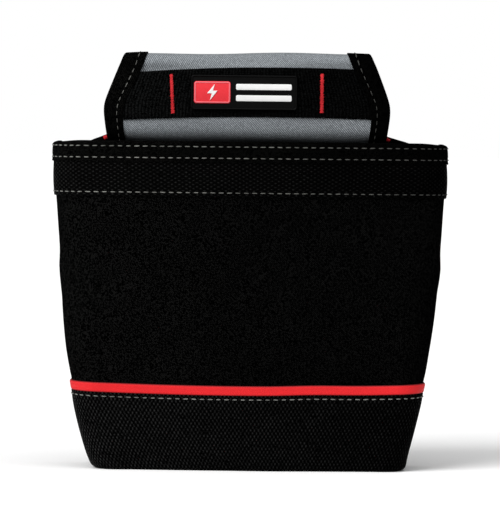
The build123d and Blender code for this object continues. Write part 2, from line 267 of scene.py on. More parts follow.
@dataclass(frozen=True)
class Surface:
    """Points, faces and weave coordinates of one mesh, before it becomes an object.

    Attributes:
        points: One row of x, y and z for each point.
        faces: Point numbers of each face.
        uv: One row of two weave coordinates for each face corner.
    """

    points: Array
    faces: list
    uv: Array

    def volume(self) -> float:
        """Signed volume: the sum over faces of a . (b x c) / 6, on fans of triangles.

        Returns:
            The volume, below 0 where the faces point inwards.
        """
        total = 0.0
        for size in (3, 4):
            rows = np.array([face for face in self.faces if len(face) == size])
            if len(rows) == 0:
                continue
            corner = self.points[rows]
            for second in range(1, size - 1):
                cross = np.cross(corner[:, second], corner[:, second + 1])
                total += float(np.einsum("ij,ij->", corner[:, 0], cross)) / 6.0
        return total

    def outward(self) -> "Surface":
        """Turn the faces outwards if the signed volume says that they point inwards.

        Returns:
            The same surface, or one with every face's corners in the opposite order.
        """
        if self.volume() >= 0.0:
            return self
        turned = [face[::-1] for face in self.faces]
        starts = np.cumsum([0] + [len(face) for face in self.faces])
        order = np.concatenate([np.arange(b - 1, a - 1, -1) for a, b in zip(starts, starts[1:])])
        return Surface(self.points, turned, self.uv[order])

    def to_object(self, name: str) -> bpy.types.Object:
        """Put the surface into a smooth-shaded mesh object at the origin.

        Args:
            name: The new object's name.

        Returns:
            The object, linked to the scene.
        """
        mesh = bpy.data.meshes.new(name)
        mesh.from_pydata(self.points.tolist(), [], self.faces)
        layer = mesh.uv_layers.new(name="weave")
        layer.data.foreach_set("uv", self.uv.astype(np.float32).ravel())
        mesh.polygons.foreach_set("use_smooth", np.ones(len(mesh.polygons), dtype=bool))
        mesh.update()
        made = bpy.data.objects.new(name, mesh)
        bpy.context.scene.collection.objects.link(made)
        return made


def sweep(
    name: str,
    path: Array,
    path_measure: Array,
    section: Section,
    place: Place,
    weave: Optional[Callable[[Array], Array]] = None,
) -> bpy.types.Object:
    """Carry a section along a path and close both ends.

    Point (i, j) is place(path[i], across[j], out[j]). Each end is closed by faces from the
    outer side to the inner side, which pair up because the section runs there and back.

    Args:
        name: The piece's name.
        path: The path's parameter, in order.
        path_measure: Distance along the path at each of its stations, for the weave.
        section: The outline that is carried.
        place: Turns (path, across, out) into points.
        weave: Gives each point its two weave coordinates, if they aren't the distances.

    Returns:
        The finished piece.
    """
    rows, size = len(path), section.size
    points = place(path[:, None], section.across[None, :], section.out[None, :])
    half = size // 2
    a = np.arange(1, half - 1)
    cap = np.stack([a, a + 1, size - a - 1, size - a], -1)
    tips = np.array([[0, 1, size - 1], [half, half - 1, half + 1]])
    last = (rows - 1) * size
    faces = grid_quads(rows, size).tolist()
    faces += cap[:, ::-1].tolist() + [tips[0][::-1].tolist(), tips[1].tolist()]
    faces += (cap + last).tolist() + [(tips[0] + last).tolist(), (tips[1][::-1] + last).tolist()]
    measures = np.stack(np.broadcast_arrays(path_measure[:, None], section.measure[None, :]), -1)
    coordinates = measures if weave is None else weave(points)
    uv = by_corner(coordinates.reshape(-1, 2), faces)
    return Surface(points.reshape(-1, 3), faces, uv).outward().to_object(name)


@dataclass(frozen=True)
class StitchRow:
    """A row of thread stitches: each a low arch that dips into the cloth at both ends.

    Attributes:
        pitch: Distance from one stitch to the next.
        length: Length of one stitch.
        radius: Radius of the thread.
        sides: Points round the thread.
        rings: Rings of points along a stitch.
        unevenness: Share by which the stitches differ in length.
    """

    pitch: float = 4.8 * MM
    length: float = 3.3 * MM
    radius: float = 0.36 * MM
    sides: int = 6
    rings: int = 5
    unevenness: float = 0.12

    def centres(self, start: float, end: float) -> Array:
        """Even stations between two distances, as close to the pitch as fits.

        Args:
            start: Where the row starts.
            end: Where the row ends.

        Returns:
            The middle of each stitch.
        """
        count = max(1, int(round((end - start) / self.pitch)))
        return start + (np.arange(count) + 0.5) * (end - start) / count

    def build(
        self,
        name: str,
        centre: Array,
        across: Array,
        out: Array,
        place: Place,
        seed: int,
        lean: float = 0.0,
    ) -> bpy.types.Object:
        """All the stitches of a row as one mesh.

        On stitch n, ring k and side m the point is at centre + a_k along the row,
        across + r_k cos(m) + lean * a_k, and out + r_k sin(m) + an arch 1 - (a_k / half)^2.

        Args:
            name: The piece's name.
            centre: Each stitch's middle, as a distance along the row.
            across: Each stitch's place across the row.
            out: How far out the cloth's face is at each stitch.
            place: Turns (distance along, across, out) into points.
            seed: Seed of the small differences between stitches.
            lean: How far a stitch leans across the row for each unit along it.

        Returns:
            The finished row.
        """
        random = np.random.default_rng(seed)
        count = len(centre)
        vary = 1.0 + self.unevenness * random.uniform(-1.0, 1.0, (count, 1, 1))
        tilt = lean + 0.06 * random.uniform(-1.0, 1.0, (count, 1, 1))
        share = np.linspace(-1.0, 1.0, self.rings + 2)[None, 1:-1, None]
        angle = (np.arange(self.sides) * TAU / self.sides)[None, None, :]
        half = self.length / 2.0 * vary
        thick = self.radius * np.sqrt(np.clip(1.0 - share**4, 0.0, 1.0))
        step = share * half
        arch = self.radius * (0.75 - 1.1 * share**2)
        sideways = thick * np.cos(angle) + tilt * step
        upward = thick * np.sin(angle) + arch
        rings = self._lay(centre, across, out, step, sideways, upward, place)
        pole_share = np.array([-1.0, 1.0])[None, :, None]
        pole_step = pole_share * half
        sunk = np.full_like(pole_step, -0.5 * self.radius)
        poles = self._lay(centre, across, out, pole_step, tilt * pole_step, sunk, place)
        points = np.concatenate([rings.reshape(count, -1, 3), poles.reshape(count, -1, 3)], 1)
        return self._mesh(name, points)

    def _lay(
        self,
        centre: Array,
        across: Array,
        out: Array,
        step: Array,
        sideways: Array,
        upward: Array,
        place: Place,
    ) -> Array:
        """Place points given from each stitch's own middle.

        Args:
            centre: Each stitch's middle along the row.
            across: Each stitch's place across the row.
            out: How far out the cloth's face is at each stitch.
            step: Distance of each point from the middle, along the row.
            sideways: Distance of each point from the middle, across the row.
            upward: Height of each point over the cloth's face.
            place: Turns (distance along, across, out) into points.

        Returns:
            The points, shaped (stitches, rings, sides, 3).
        """
        base = (centre[:, None, None], across[:, None, None], out[:, None, None])
        shape = np.broadcast_shapes(base[0].shape, step.shape, sideways.shape, upward.shape)
        parts = [np.broadcast_to(a + b, shape) for a, b in zip(base, (step, sideways, upward))]
        return place(*parts)

    def _mesh(self, name: str, points: Array) -> bpy.types.Object:
        """Join every stitch's rings with quads and its poles with triangles.

        Args:
            name: The piece's name.
            points: Every stitch's points, its two poles last, shaped (stitches, n, 3).

        Returns:
            The finished row.
        """
        count, size = points.shape[:2]
        quads = np.roll(grid_quads(self.rings, self.sides)[:, ::-1], 1, axis=1)
        m = np.arange(self.sides)
        n = (m + 1) % self.sides
        top = (self.rings - 1) * self.sides
        first = np.stack([np.full_like(m, size - 2), n, m], -1)
        last = np.stack([np.full_like(m, size - 1), top + m, top + n], -1)
        shift = (np.arange(count) * size)[:, None, None]
        faces = (quads[None] + shift).reshape(-1, 4).tolist()
        faces += (np.concatenate([first, last])[None] + shift).reshape(-1, 3).tolist()
        twist = np.zeros((count, size, 2))
        ring_size = self.rings * self.sides
        twist[:, :ring_size, 0] = np.repeat(np.linspace(0.0, self.length, self.rings), self.sides)
        twist[:, :ring_size, 1] = np.tile(np.arange(self.sides) * self.radius, self.rings)
        twist[..., 0] += np.arange(count)[:, None] * self.pitch
        uv = by_corner(twist.reshape(-1, 2), faces)
        return Surface(points.reshape(-1, 3), faces, uv).outward().to_object(name)


# ---------------------------------------------------------------------------
# The three shapes that cloth lies on
# ---------------------------------------------------------------------------


@dataclass(frozen=True)
class WallShape:
    """The bag's front and sides as one surface, open at the back.

    The path parameter is the distance from the middle of the front, positive to the right,
    measured round the wall halfway up. A level cut is straight at the front, turns a round
    corner and runs straight to the back seam.

    Attributes:
        half_rim: Half the width at the rim.
        half_base: Half the width at the base.
        front_rim: Where the front stands at the rim, as a y.
        front_base: Where the front stands at the base, as a y.
        back: Where both walls end, as a y.
        rim: The rim's height.
        width_power: How late the width tapers towards the base.
        depth_power: The same for the depth.
        corner: Radius of the front corners at the rim and at the base.
        corner_swell: How much larger that radius is halfway up.
        front_bow: How far the middle of the front stands out.
    """

    half_rim: float
    half_base: float
    front_rim: float
    front_base: float
    back: float
    rim: float
    width_power: float = 2.6
    depth_power: float = 1.5
    corner: float = 14.0 * MM
    corner_swell: float = 5.0 * MM
    front_bow: float = 3.0 * MM

    @classmethod
    def from_frame(cls) -> "WallShape":
        """Read the wall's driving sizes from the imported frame.

        Returns:
            The wall's shape.
        """
        cloth_low, cloth_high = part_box("front_panel")
        floor_low, floor_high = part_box("bottom_panel")
        binding_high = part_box("mouth_binding")[1]
        return cls(
            half_rim=cloth_high.x,
            half_base=floor_high.x - BOOT_T,
            front_rim=cloth_low.y,
            front_base=floor_low.y + BOOT_T,
            back=cloth_high.y + 0.5 * MM,
            rim=binding_high.z,
        )

    def half_width(self, height: Array) -> Array:
        """Half the width: rim - (rim - base) * (1 - z/h)^p, fuller at the boot, slack above.

        Args:
            height: Height over the base.

        Returns:
            Half the bag's width there.
        """
        share = (1.0 - np.clip(height / self.rim, 0.0, 1.0)) ** self.width_power
        z = height / MM
        fuller = 0.4 + 1.3 * bell(z, 34.0, 30.0) - bell(z, 134.0, 28.0) + 0.8 * bell(z, 184.0, 13.0)
        return self.half_rim - (self.half_rim - self.half_base) * share + fuller * MM

    def centre(self, height: Array) -> Array:
        """Where the middle of the bag hangs: a sum of bells, left low down and right above.

        Args:
            height: Height over the base.

        Returns:
            The x of the bag's middle there.
        """
        z = height / MM
        low, middle, high = bell(z, 34.0, 34.0), bell(z, 118.0, 42.0), bell(z, 185.0, 20.0)
        return (0.75 * middle - 0.5 * low + 0.3 * high + 0.9 * bell(z, 0.0, 7.0)) * MM

    def front(self, height: Array) -> Array:
        """Where the front stands: the same kind of curve in depth, from base to rim."""
        share = (1.0 - np.clip(height / self.rim, 0.0, 1.0)) ** self.depth_power
        return self.front_rim + (self.front_base - self.front_rim) * share

    def _lengths(self) -> tuple[float, float, float]:
        """Work out the parts of the path from the level cut halfway up.

        Returns:
            Lengths of half the front, one corner and one side.
        """
        middle = np.array(self.rim / 2.0)
        radius = self.corner + self.corner_swell
        straight = float(self.half_width(middle)) - radius
        side = self.back - float(self.front(middle)) - radius
        return straight, radius * math.pi / 2.0, side

    @property
    def reach(self) -> float:
        """Distance round the wall from the middle of the front to one back seam."""
        return sum(self._lengths())

    def path(self, step: float) -> Array:
        """Distances round the wall from one back seam to the other, about a step apart."""
        return np.linspace(-self.reach, self.reach, int(2.0 * self.reach / step) + 1)

    def drape(self, distance: Array, height: Array) -> Array:
        """How far the cloth stands off its plain shape, outwards.

        The sum of: a pull inwards along the boot's seam, a slack belly above it, long soft
        folds across the front, two slanting creases from the upper corners, a slow wave of
        the rim, hollows at the lower corners where the boot is tucked, and a dip at each seam.

        Args:
            distance: Distance round the wall.
            height: Height over the base.

        Returns:
            The distance off the plain shape.
        """
        u, z = distance / MM, height / MM
        straight = self._lengths()[0] / MM
        front = np.cos(np.clip(np.abs(u) / straight, 0.0, 1.0) * math.pi / 2.0) ** 2
        seam = -0.9 * bell(z, 48.5, 8.0)
        belly = 2.0 * bell(z, 104.0, 46.0) * front
        body = smooth(z, 50.0, 78.0) * (1.0 - smooth(z, 140.0, 172.0))
        still = 1.0 - 0.75 * bell(np.abs(u), straight + 12.0, 22.0)
        folds = body * still * (
            0.75 * np.sin(u / 17.0 + z / 60.0 + 0.6)
            + 0.55 * np.sin(u / 29.0 - z / 33.0 + 2.1)
            + 0.35 * np.sin(u / 9.5 + z / 24.0)
        )
        slant = (np.abs(u) - 96.0) * 0.78 + (z - 166.0) * 0.62
        reach_in = smooth(z, 96.0, 130.0) * (1.0 - smooth(z, 160.0, 172.0))
        creases = 1.1 * bell(slant, 0.0, 5.5) * reach_in * smooth(np.abs(u), 40.0, 75.0)
        rim_wave = 0.5 * smooth(z, 150.0, 200.0) * np.sin(u / 31.0 + 0.9)
        boot_folds = (1.0 - smooth(z, 34.0, 46.0)) * (
            0.5 * np.sin(u / 21.0 - z / 14.0 + 0.4) + 0.35 * np.sin(u / 8.5 + z / 11.0)
        )
        tuck = -3.2 * bell(u, -86.0, 8.0) * bell(z, 5.5, 5.0)
        right_hollow = -1.2 * bell(u, 62.0, 22.0) * bell(z, 7.0, 9.0)
        seam_dip = -0.9 * smooth(np.abs(u), self.reach / MM - 5.0, self.reach / MM)
        total = seam * still + belly + folds + creases + rim_wave + boot_folds * still
        return (total + tuck + right_hollow + seam_dip) * MM

    def lift(self, distance: Array, height: Array) -> Array:
        """How far the cloth is carried up: the boot's edge rises to both sides, the rim drops.

        The boot's edge follows 1 + 2.3 (u/w)^2.2 and a small hump on the right, fading away
        from its own height. The rim's corners sink by a little over a millimetre.

        Args:
            distance: Distance round the wall.
            height: Height over the base.

        Returns:
            The rise.
        """
        u, z = distance / MM, height / MM
        share = np.clip(np.abs(u) / (self.half_rim / MM), 0.0, 1.0)
        edge = 1.0 + 2.3 * share**2.2 + 0.6 * bell(u, 45.0, 22.0)
        near_boot = bell(z, 49.0, 24.0) * smooth(z, 0.0, 20.0)
        rim_drop = -1.2 * smooth(share, 0.78, 1.0) * smooth(z, 205.0, 207.5)
        return (edge * near_boot + rim_drop) * MM

    def place(self, distance: Array, height: Array, out: Array) -> Array:
        """Points on the wall: straight front, round corner, straight side, each stood off.

        With r the corner's radius, the front runs to w - r, the corner is r sin a across and
        r (1 - cos a) back, and the side runs straight to the back seam.

        Args:
            distance: Distance round the wall from the middle of the front.
            height: Height over the base.
            out: Distance out from the cloth's face.

        Returns:
            The points, with x, y and z last.
        """
        straight, turn, side = self._lengths()
        away = np.abs(distance)
        z = height + self.lift(distance, height)
        stand = out + self.drape(distance, height)
        swell = self.corner_swell * np.sin(np.clip(height / self.rim, 0, 1) * math.pi) ** 2
        radius = self.corner + swell + stand
        half = self.half_width(height) + stand
        front = self.front(height) - stand
        on_front = np.clip(away / straight, 0.0, 1.0)
        on_corner = np.clip((away - straight) / turn, 0.0, 1.0) * math.pi / 2.0
        on_side = np.clip((away - straight - turn) / side, 0.0, 1.0)
        bow = self.front_bow * np.cos(on_front * math.pi / 2.0) ** 2
        x = (half - radius) * on_front + radius * np.sin(on_corner)
        y = front - bow + radius * (1.0 - np.cos(on_corner))
        y = y + (self.back - front - radius) * on_side
        x = self.centre(height) + np.sign(distance) * x
        return np.stack(np.broadcast_arrays(x, y, z), -1)


@dataclass(frozen=True)
class LoopShape:
    """The belt tunnel: a loop of cloth up the front, over the top and down the back.

    The loop parameter is the distance from the foot of the front. Across the pouch the cloth
    ends at half_width(height), which is narrow at the top and widest below the strap.

    Attributes:
        centre_x: The x of the tunnel's middle.
        back: Where the back ply lies, as a y.
        front: Where the front ply stands, as a y.
        foot_front: Where the front ply's foot meets the bag, as a y.
        foot: The foot's height.
        top: The top's height.
        belly: The height from which the front stands upright.
        belly_radius: Radius of the bend there.
        top_radius: Radius of both bends at the top.
        widest: Half the greatest width.
        bend_height: Where the upper slope starts.
        foot_height: Where the lower slope starts.
        strap_low: Height of the strap's lower edge on the cloth.
        strap_high: Height of its upper edge.
        top_slope: Narrowing for each unit above bend_height.
        foot_slope: Narrowing for each unit below foot_height.
        arch: How far the middle of the top stands up.
        tilt: Rise for each unit to the right.
    """

    centre_x: float
    back: float
    front: float
    foot_front: float
    foot: float
    top: float
    belly: float = 210.5 * MM
    belly_radius: float = 8.0 * MM
    top_radius: float = 8.0 * MM
    widest: float = 91.1 * MM
    bend_height: float = 231.0 * MM
    foot_height: float = 226.0 * MM
    strap_low: float = 223.4 * MM
    strap_high: float = 254.4 * MM
    top_slope: float = 0.418
    foot_slope: float = 0.16
    arch: float = 0.6 * MM
    tilt: float = 0.010

    @classmethod
    def from_frame(cls) -> "LoopShape":
        """Read the loop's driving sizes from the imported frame.

        Returns:
            The loop's shape.
        """
        low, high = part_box("tunnel_flap")
        back_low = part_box("shoulder_panel")[0]
        return cls(
            centre_x=(low.x + high.x) / 2.0,
            back=high.y,
            front=low.y,
            foot_front=back_low.y - FLAP_LINING_T - FLAP_T,
            foot=low.z,
            top=high.z,
        )

    def line(self) -> Array:
        """The loop's outer line seen from the side.

        Returns:
            Points (y, z) from the front foot over the top to the back foot.
        """
        corners = [
            (self.foot_front, self.foot),
            (self.front, self.belly),
            (self.front, self.top),
            (self.back, self.top),
            (self.back, self.foot),
        ]
        radii = [self.belly_radius, self.top_radius, self.top_radius]
        return rounded_path(corners, radii)

    def length(self) -> float:
        """The whole loop's length, front foot to back foot."""
        return float(along(self.line())[-1])

    def station_at(self, height: float, on_back: bool = False) -> float:
        """The loop distance at which the front, or the back, passes a height.

        Args:
            height: The height.
            on_back: True for the back ply.

        Returns:
            The distance from the front foot.
        """
        line = self.line()
        station = along(line)
        crest = int(np.argmax(line[:, 1] > self.top - 1e-6))
        if on_back:
            return float(np.interp(-height, -line[crest:, 1], station[crest:]))
        return float(np.interp(height, line[: crest + 1, 1], station[: crest + 1]))

    def half_width(self, height: Array) -> Array:
        """Half the cloth's width: two straight slopes, rounded into each other.

        Each slope is k * (t + sqrt(t^2 + s^2)) / 2, where t is the distance past its bend.

        Args:
            height: Height over the base.

        Returns:
            Half the cloth's width there.
        """
        above, below = height - self.bend_height, self.foot_height - height
        soft = 4.5 * MM
        upper = self.top_slope * (above + np.sqrt(above**2 + soft**2)) / 2.0
        lower = self.foot_slope * (below + np.sqrt(below**2 + soft**2)) / 2.0
        return self.widest - upper - lower

    def on_line(self, station: Array) -> tuple[Array, Array, Array, Array]:
        """Read the plain loop and its outward normal, from 1200 even stations along it.

        Args:
            station: Distance from the front foot.

        Returns:
            The y and z of the point, and the y and z of its normal.
        """
        line = self.line()
        mark = along(line)
        dense = np.linspace(0.0, mark[-1], 1200)
        fine = np.stack([np.interp(dense, mark, line[:, k]) for k in (0, 1)], axis=1)
        normal = left_normals(fine)
        y, z = (np.interp(station, dense, fine[:, k]) for k in (0, 1))
        normal_y, normal_z = (np.interp(station, dense, normal[:, k]) for k in (0, 1))
        size = np.hypot(normal_y, normal_z)
        return y, z, normal_y / size, normal_z / size

    def drape(self, x: Array, station: Array) -> Array:
        """How far the loop's cloth stands off its plain line, outwards.

        The sum of: a soft swelling above and below the strap, a slow wave from side to side,
        and a pull inwards along both bound edges. Under the strap the cloth is held flat.

        Args:
            x: Place across the pouch.
            station: Distance from the front foot.

        Returns:
            The distance off the plain line.
        """
        u, t = (x - self.centre_x) / MM, station / MM
        front_foot = self.station_at(self.belly) / MM
        strap_low = self.station_at(self.strap_low) / MM
        strap_high = self.station_at(self.strap_high) / MM
        puff = 0.9 * bell(t, strap_high + 7.0, 6.0) + 0.8 * bell(t, strap_low - 7.0, 6.0)
        wave = 0.45 * np.sin(u / 15.0 + t / 11.0) * smooth(t, front_foot - 6.0, front_foot + 4.0)
        pull = -0.5 * smooth(np.abs(u), 62.0, 84.0)
        under_strap = smooth(t, strap_low - 3.0, strap_low) * (
            1.0 - smooth(t, strap_high, strap_high + 3.0)
        )
        free = 1.0 - under_strap
        return (puff + wave * free + pull * free) * MM

    def place_at(self, x: Array, station: Array, out: Array) -> Array:
        """Points at an x, a loop distance and out from the cloth's face.

        The top is arched a little, and its front leans back in the middle and forwards at the
        sides, by 2.6 - 5.6 |x| / w millimetres.

        Args:
            x: Place across the pouch.
            station: Distance from the front foot.
            out: Distance out from the cloth's face.

        Returns:
            The points, with x, y and z last.
        """
        y, z, normal_y, normal_z = self.on_line(station)
        stand = out + self.drape(x, station)
        share = np.clip(np.abs(x - self.centre_x) / self.widest, 0.0, 1.0)
        rise = self.arch * (1.0 - share**2) + self.tilt * (x - self.centre_x)
        lean = (2.6 - 5.6 * np.sqrt(share**2 + 0.01)) * MM * smooth(z, 0.2535, 0.259)
        y = y + lean * np.clip(-normal_y, 0.0, 1.0)
        z = z + rise * smooth(z, 0.222, 0.256) + stand * normal_z
        return np.stack(np.broadcast_arrays(x, y + stand * normal_y, z), -1)

    def place_cloth(self, margin: float) -> Place:
        """Placing for cloth that is carried from edge to edge.

        Args:
            margin: How far inside both edges the cloth ends.

        Returns:
            The placing function, whose path runs from -1 at the left edge to 1 at the right.
        """

        def place(share: Array, station: Array, out: Array) -> Array:
            """Points at a share of the half width: x = centre + share * (half width - margin).

            Args:
                share: From -1 at the left edge to 1 at the right.
                station: Distance from the front foot.
                out: Distance out from the cloth's face.

            Returns:
                The points, with x, y and z last.
            """
            height = self.on_line(station)[1]
            x = self.centre_x + share * (self.half_width(height) - margin)
            return self.place_at(x, station, out)

        return place

    def place_edge(self, side: int) -> Place:
        """Placing for tape on one edge.

        Args:
            side: -1 for the left edge, 1 for the right.

        Returns:
            The placing function, whose path is the loop distance.
        """

        def place(station: Array, inset: Array, out: Array) -> Array:
            """Points at an inset from one edge: x = centre + side * (half width - inset).

            Args:
                station: Distance from the front foot.
                inset: Distance inwards from the edge.
                out: Distance out from the cloth's face.

            Returns:
                The points, with x, y and z last.
            """
            height = self.on_line(station)[1]
            x = self.centre_x + side * (self.half_width(height) - inset)
            return self.place_at(x, station, out)

        return place


@dataclass(frozen=True)
class BackShape:
    """The flat back: x across, height up, and out towards +Y from the middle of the cloth.

    Attributes:
        middle_y: The middle of the cloth's thickness, as a y.
        wall: The bag's wall, for its width.
        loop: The tunnel's loop, for its width.
        neck_half: Half the neck's width.
        neck: The neck's height.
    """

    middle_y: float
    wall: WallShape
    loop: LoopShape
    neck_half: float
    neck: float

    @classmethod
    def from_frame(cls, wall: WallShape, loop: LoopShape) -> "BackShape":
        """Read the back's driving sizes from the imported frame.

        Args:
            wall: The bag's wall.
            loop: The tunnel's loop.

        Returns:
            The back's shape.
        """
        low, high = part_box("back_panel")
        shoulder_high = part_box("shoulder_panel")[1]
        roll_low, roll_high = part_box("neck_seam_roll")
        return cls(
            middle_y=(low.y + high.y) / 2.0,
            wall=wall,
            loop=loop,
            neck_half=shoulder_high.x,
            neck=(roll_low.z + roll_high.z) / 2.0,
        )

    def half_width(self, height: Array) -> Array:
        """Half the back's width: smooth steps from the bag's to the neck's to the tunnel's.

        Args:
            height: Height over the base.

        Returns:
            Half the cloth's width there.
        """
        bag = self.wall.half_width(height)
        tunnel = self.loop.half_width(height) - 1.2 * MM
        to_neck = smooth(height, self.neck - 12.0 * MM, self.neck - 9.5 * MM)
        to_tunnel = smooth(height, self.neck + 7.5 * MM, self.neck + 15.5 * MM)
        low = bag + (self.neck_half - bag) * to_neck
        return low + (tunnel - low) * to_tunnel

    def ripple(self, x: Array, height: Array) -> Array:
        """Two slanting sines that die away as 1 - |share|^3 at the edges and above the neck.

        Args:
            x: Place across the pouch.
            height: Height over the base.

        Returns:
            The distance off the flat.
        """
        u, z = x / MM, height / MM
        share = np.clip(np.abs(x) / self.half_width(height), 0.0, 1.0)
        still = (1.0 - share**3) * smooth(z, 6.0, 40.0) * (1.0 - smooth(z, 175.0, 196.0))
        return (0.55 * np.sin(u / 24.0 + z / 38.0) + 0.4 * np.sin(z / 19.0 - u / 41.0)) * still * MM

    def place(self, share: Array, height: Array, out: Array) -> Array:
        """Points on the back cloth: share * half width across, on the waves of the ripple.

        Args:
            share: From -1 at the left edge to 1 at the right.
            height: Height over the base.
            out: Distance out from the middle of the cloth.

        Returns:
            The points, with x, y and z last.
        """
        above = smooth(height, self.neck + 7.5 * MM, self.neck + 15.5 * MM)
        centre = self.loop.centre_x * above + self.wall.centre(height)
        x = centre + share * self.half_width(height)
        edge = -0.5 * MM * smooth(np.abs(share), 0.97, 1.0) * (height < self.neck)
        y = self.middle_y + out + self.ripple(x, height) + edge
        return np.stack(np.broadcast_arrays(x, y, height), -1)

    def place_flat(self, x: Array, height: Array, out: Array) -> Array:
        """Points at a plain x and height, out from the middle of the back cloth."""
        y = self.middle_y + out + self.ripple(x, height)
        return np.stack(np.broadcast_arrays(x, y, height), -1)


# ---------------------------------------------------------------------------
# Finishes
# ---------------------------------------------------------------------------


class Weave(Enum):
    """How a cloth's yarns cross."""

    TWILL = "slanting ribs"
    BASKET = "staggered knots"
    DOTTED = "webbing with small staggered knots"
    RIBBED = "webbing with upright ribs"
    PLAIN = "fine over and under"


class Wave:
    """A number that varies over a surface, kept as a node's output, with arithmetic."""

    def __init__(self, graph: "Graph", socket: bpy.types.NodeSocket) -> None:
        """Keep the graph and the socket that gives the number."""
        self.graph = graph
        self.socket = socket

    def _apply(self, operation: str, other: object = None, clamp: bool = False) -> "Wave":
        """One math node on this number and, where it takes two, another.

        Args:
            operation: The math node's operation.
            other: The second number, if there is one.
            clamp: True to hold the result between 0 and 1.

        Returns:
            The result.
        """
        node = self.graph.node("ShaderNodeMath", operation=operation, use_clamp=clamp)
        self.graph.feed(node.inputs[0], self)
        if other is not None:
            self.graph.feed(node.inputs[1], other)
        return Wave(self.graph, node.outputs[0])

    def __add__(self, other: object) -> "Wave":
        """Sum."""
        return self._apply("ADD", other)

    def __sub__(self, other: object) -> "Wave":
        """Difference."""
        return self._apply("SUBTRACT", other)

    def __mul__(self, other: object) -> "Wave":
        """Product."""
        return self._apply("MULTIPLY", other)

    def power(self, exponent: float) -> "Wave":
        """The number raised to a power."""
        return self._apply("POWER", exponent)

    def size(self) -> "Wave":
        """The number without its sign."""
        return self._apply("ABSOLUTE")

    def hills(self, pitch: float) -> "Wave":
        """cos(2 pi x / pitch): a ridge at every pitch."""
        return (self * (TAU / pitch))._apply("COSINE")

    def sine(self) -> "Wave":
        """sin x."""
        return self._apply("SINE")

    def limited(self) -> "Wave":
        """The number held between 0 and 1."""
        return self._apply("ADD", 0.0, clamp=True)


class Graph:
    """One material's node tree, with short ways to add what the finishes need."""

    def __init__(self, name: str) -> None:
        """Start an empty material.

        Args:
            name: The material's name.
        """
        self.material = bpy.data.materials.new(name)
        self.material.use_nodes = True
        self.tree = self.material.node_tree
        self.tree.nodes.clear()

    def node(self, kind: str, **settings: object) -> bpy.types.Node:
        """Add a node and set its properties.

        Args:
            kind: The node's type.
            **settings: Its properties.

        Returns:
            The new node.
        """
        made = self.tree.nodes.new(kind)
        for key, value in settings.items():
            setattr(made, key, value)
        return made

    def feed(self, target: bpy.types.NodeSocket, value: object) -> None:
        """Link a wave or a socket to an input, or set the input to a plain value.

        Args:
            target: The input.
            value: A Wave, a socket or a value.
        """
        if isinstance(value, Wave):
            self.tree.links.new(value.socket, target)
        elif isinstance(value, bpy.types.NodeSocket):
            self.tree.links.new(value, target)
        else:
            target.default_value = value

    def weave_mm(self) -> tuple[Wave, Wave]:
        """Read the piece's own weave coordinates.

        Returns:
            Both coordinates, in millimetres.
        """
        uv = self.node("ShaderNodeUVMap", uv_map="weave")
        parts = self.node("ShaderNodeSeparateXYZ")
        self.feed(parts.inputs[0], uv.outputs[0])
        return Wave(self, parts.outputs[0]) * 1000.0, Wave(self, parts.outputs[1]) * 1000.0

    def place_socket(self) -> bpy.types.NodeSocket:
        """Object coordinates, in metres."""
        return self.node("ShaderNodeTexCoord").outputs["Object"]

    def noise(self, scale: float, detail: float = 3.0) -> Wave:
        """Cloudy noise on Object coordinates.

        Args:
            scale: Clouds to the metre.
            detail: How many finer layers are added.

        Returns:
            The noise, from 0 to 1.
        """
        made = self.node("ShaderNodeTexNoise")
        made.inputs["Scale"].default_value = scale
        made.inputs["Detail"].default_value = detail
        self.feed(made.inputs["Vector"], self.place_socket())
        return Wave(self, made.outputs["Fac"])

    def blend_colours(self, factor: Wave, low: Colour, high: Colour) -> bpy.types.NodeSocket:
        """A colour between two.

        Args:
            factor: 0 for the first colour, 1 for the second.
            low: The first colour.
            high: The second colour.

        Returns:
            The colour's socket.
        """
        mix = self.node("ShaderNodeMix", data_type="RGBA")
        self.feed(mix.inputs["Factor"], factor)
        mix.inputs[6].default_value = (*low, 1.0)
        mix.inputs[7].default_value = (*high, 1.0)
        return mix.outputs[2]

    def bump(self, height: Wave, distance: float, strength: float = 1.0) -> bpy.types.NodeSocket:
        """A normal that is tilted by a height.

        Args:
            height: The height, from 0 to 1.
            distance: What a height of 1 stands for, in metres.
            strength: Share of the tilt that is kept.

        Returns:
            The normal's socket.
        """
        made = self.node("ShaderNodeBump")
        made.inputs["Distance"].default_value = distance
        made.inputs["Strength"].default_value = strength
        self.feed(made.inputs["Height"], height)
        return made.outputs[0]

    def principled(
        self,
        colour: object,
        roughness: object,
        normal: Optional[bpy.types.NodeSocket],
        specular: object,
    ) -> bpy.types.Material:
        """Finish the tree with a principled shader.

        Args:
            colour: Base colour.
            roughness: Roughness.
            normal: Normal, if the surface has relief.
            specular: Strength of the plain reflection.

        Returns:
            The finished material.
        """
        shader = self.node("ShaderNodeBsdfPrincipled")
        self.feed(shader.inputs["Base Color"], colour)
        self.feed(shader.inputs["Roughness"], roughness)
        self.feed(shader.inputs["Specular IOR Level"], specular)
        if normal is not None:
            self.feed(shader.inputs["Normal"], normal)
        output = self.node("ShaderNodeOutputMaterial")
        self.tree.links.new(shader.outputs[0], output.inputs[0])
        return self.material


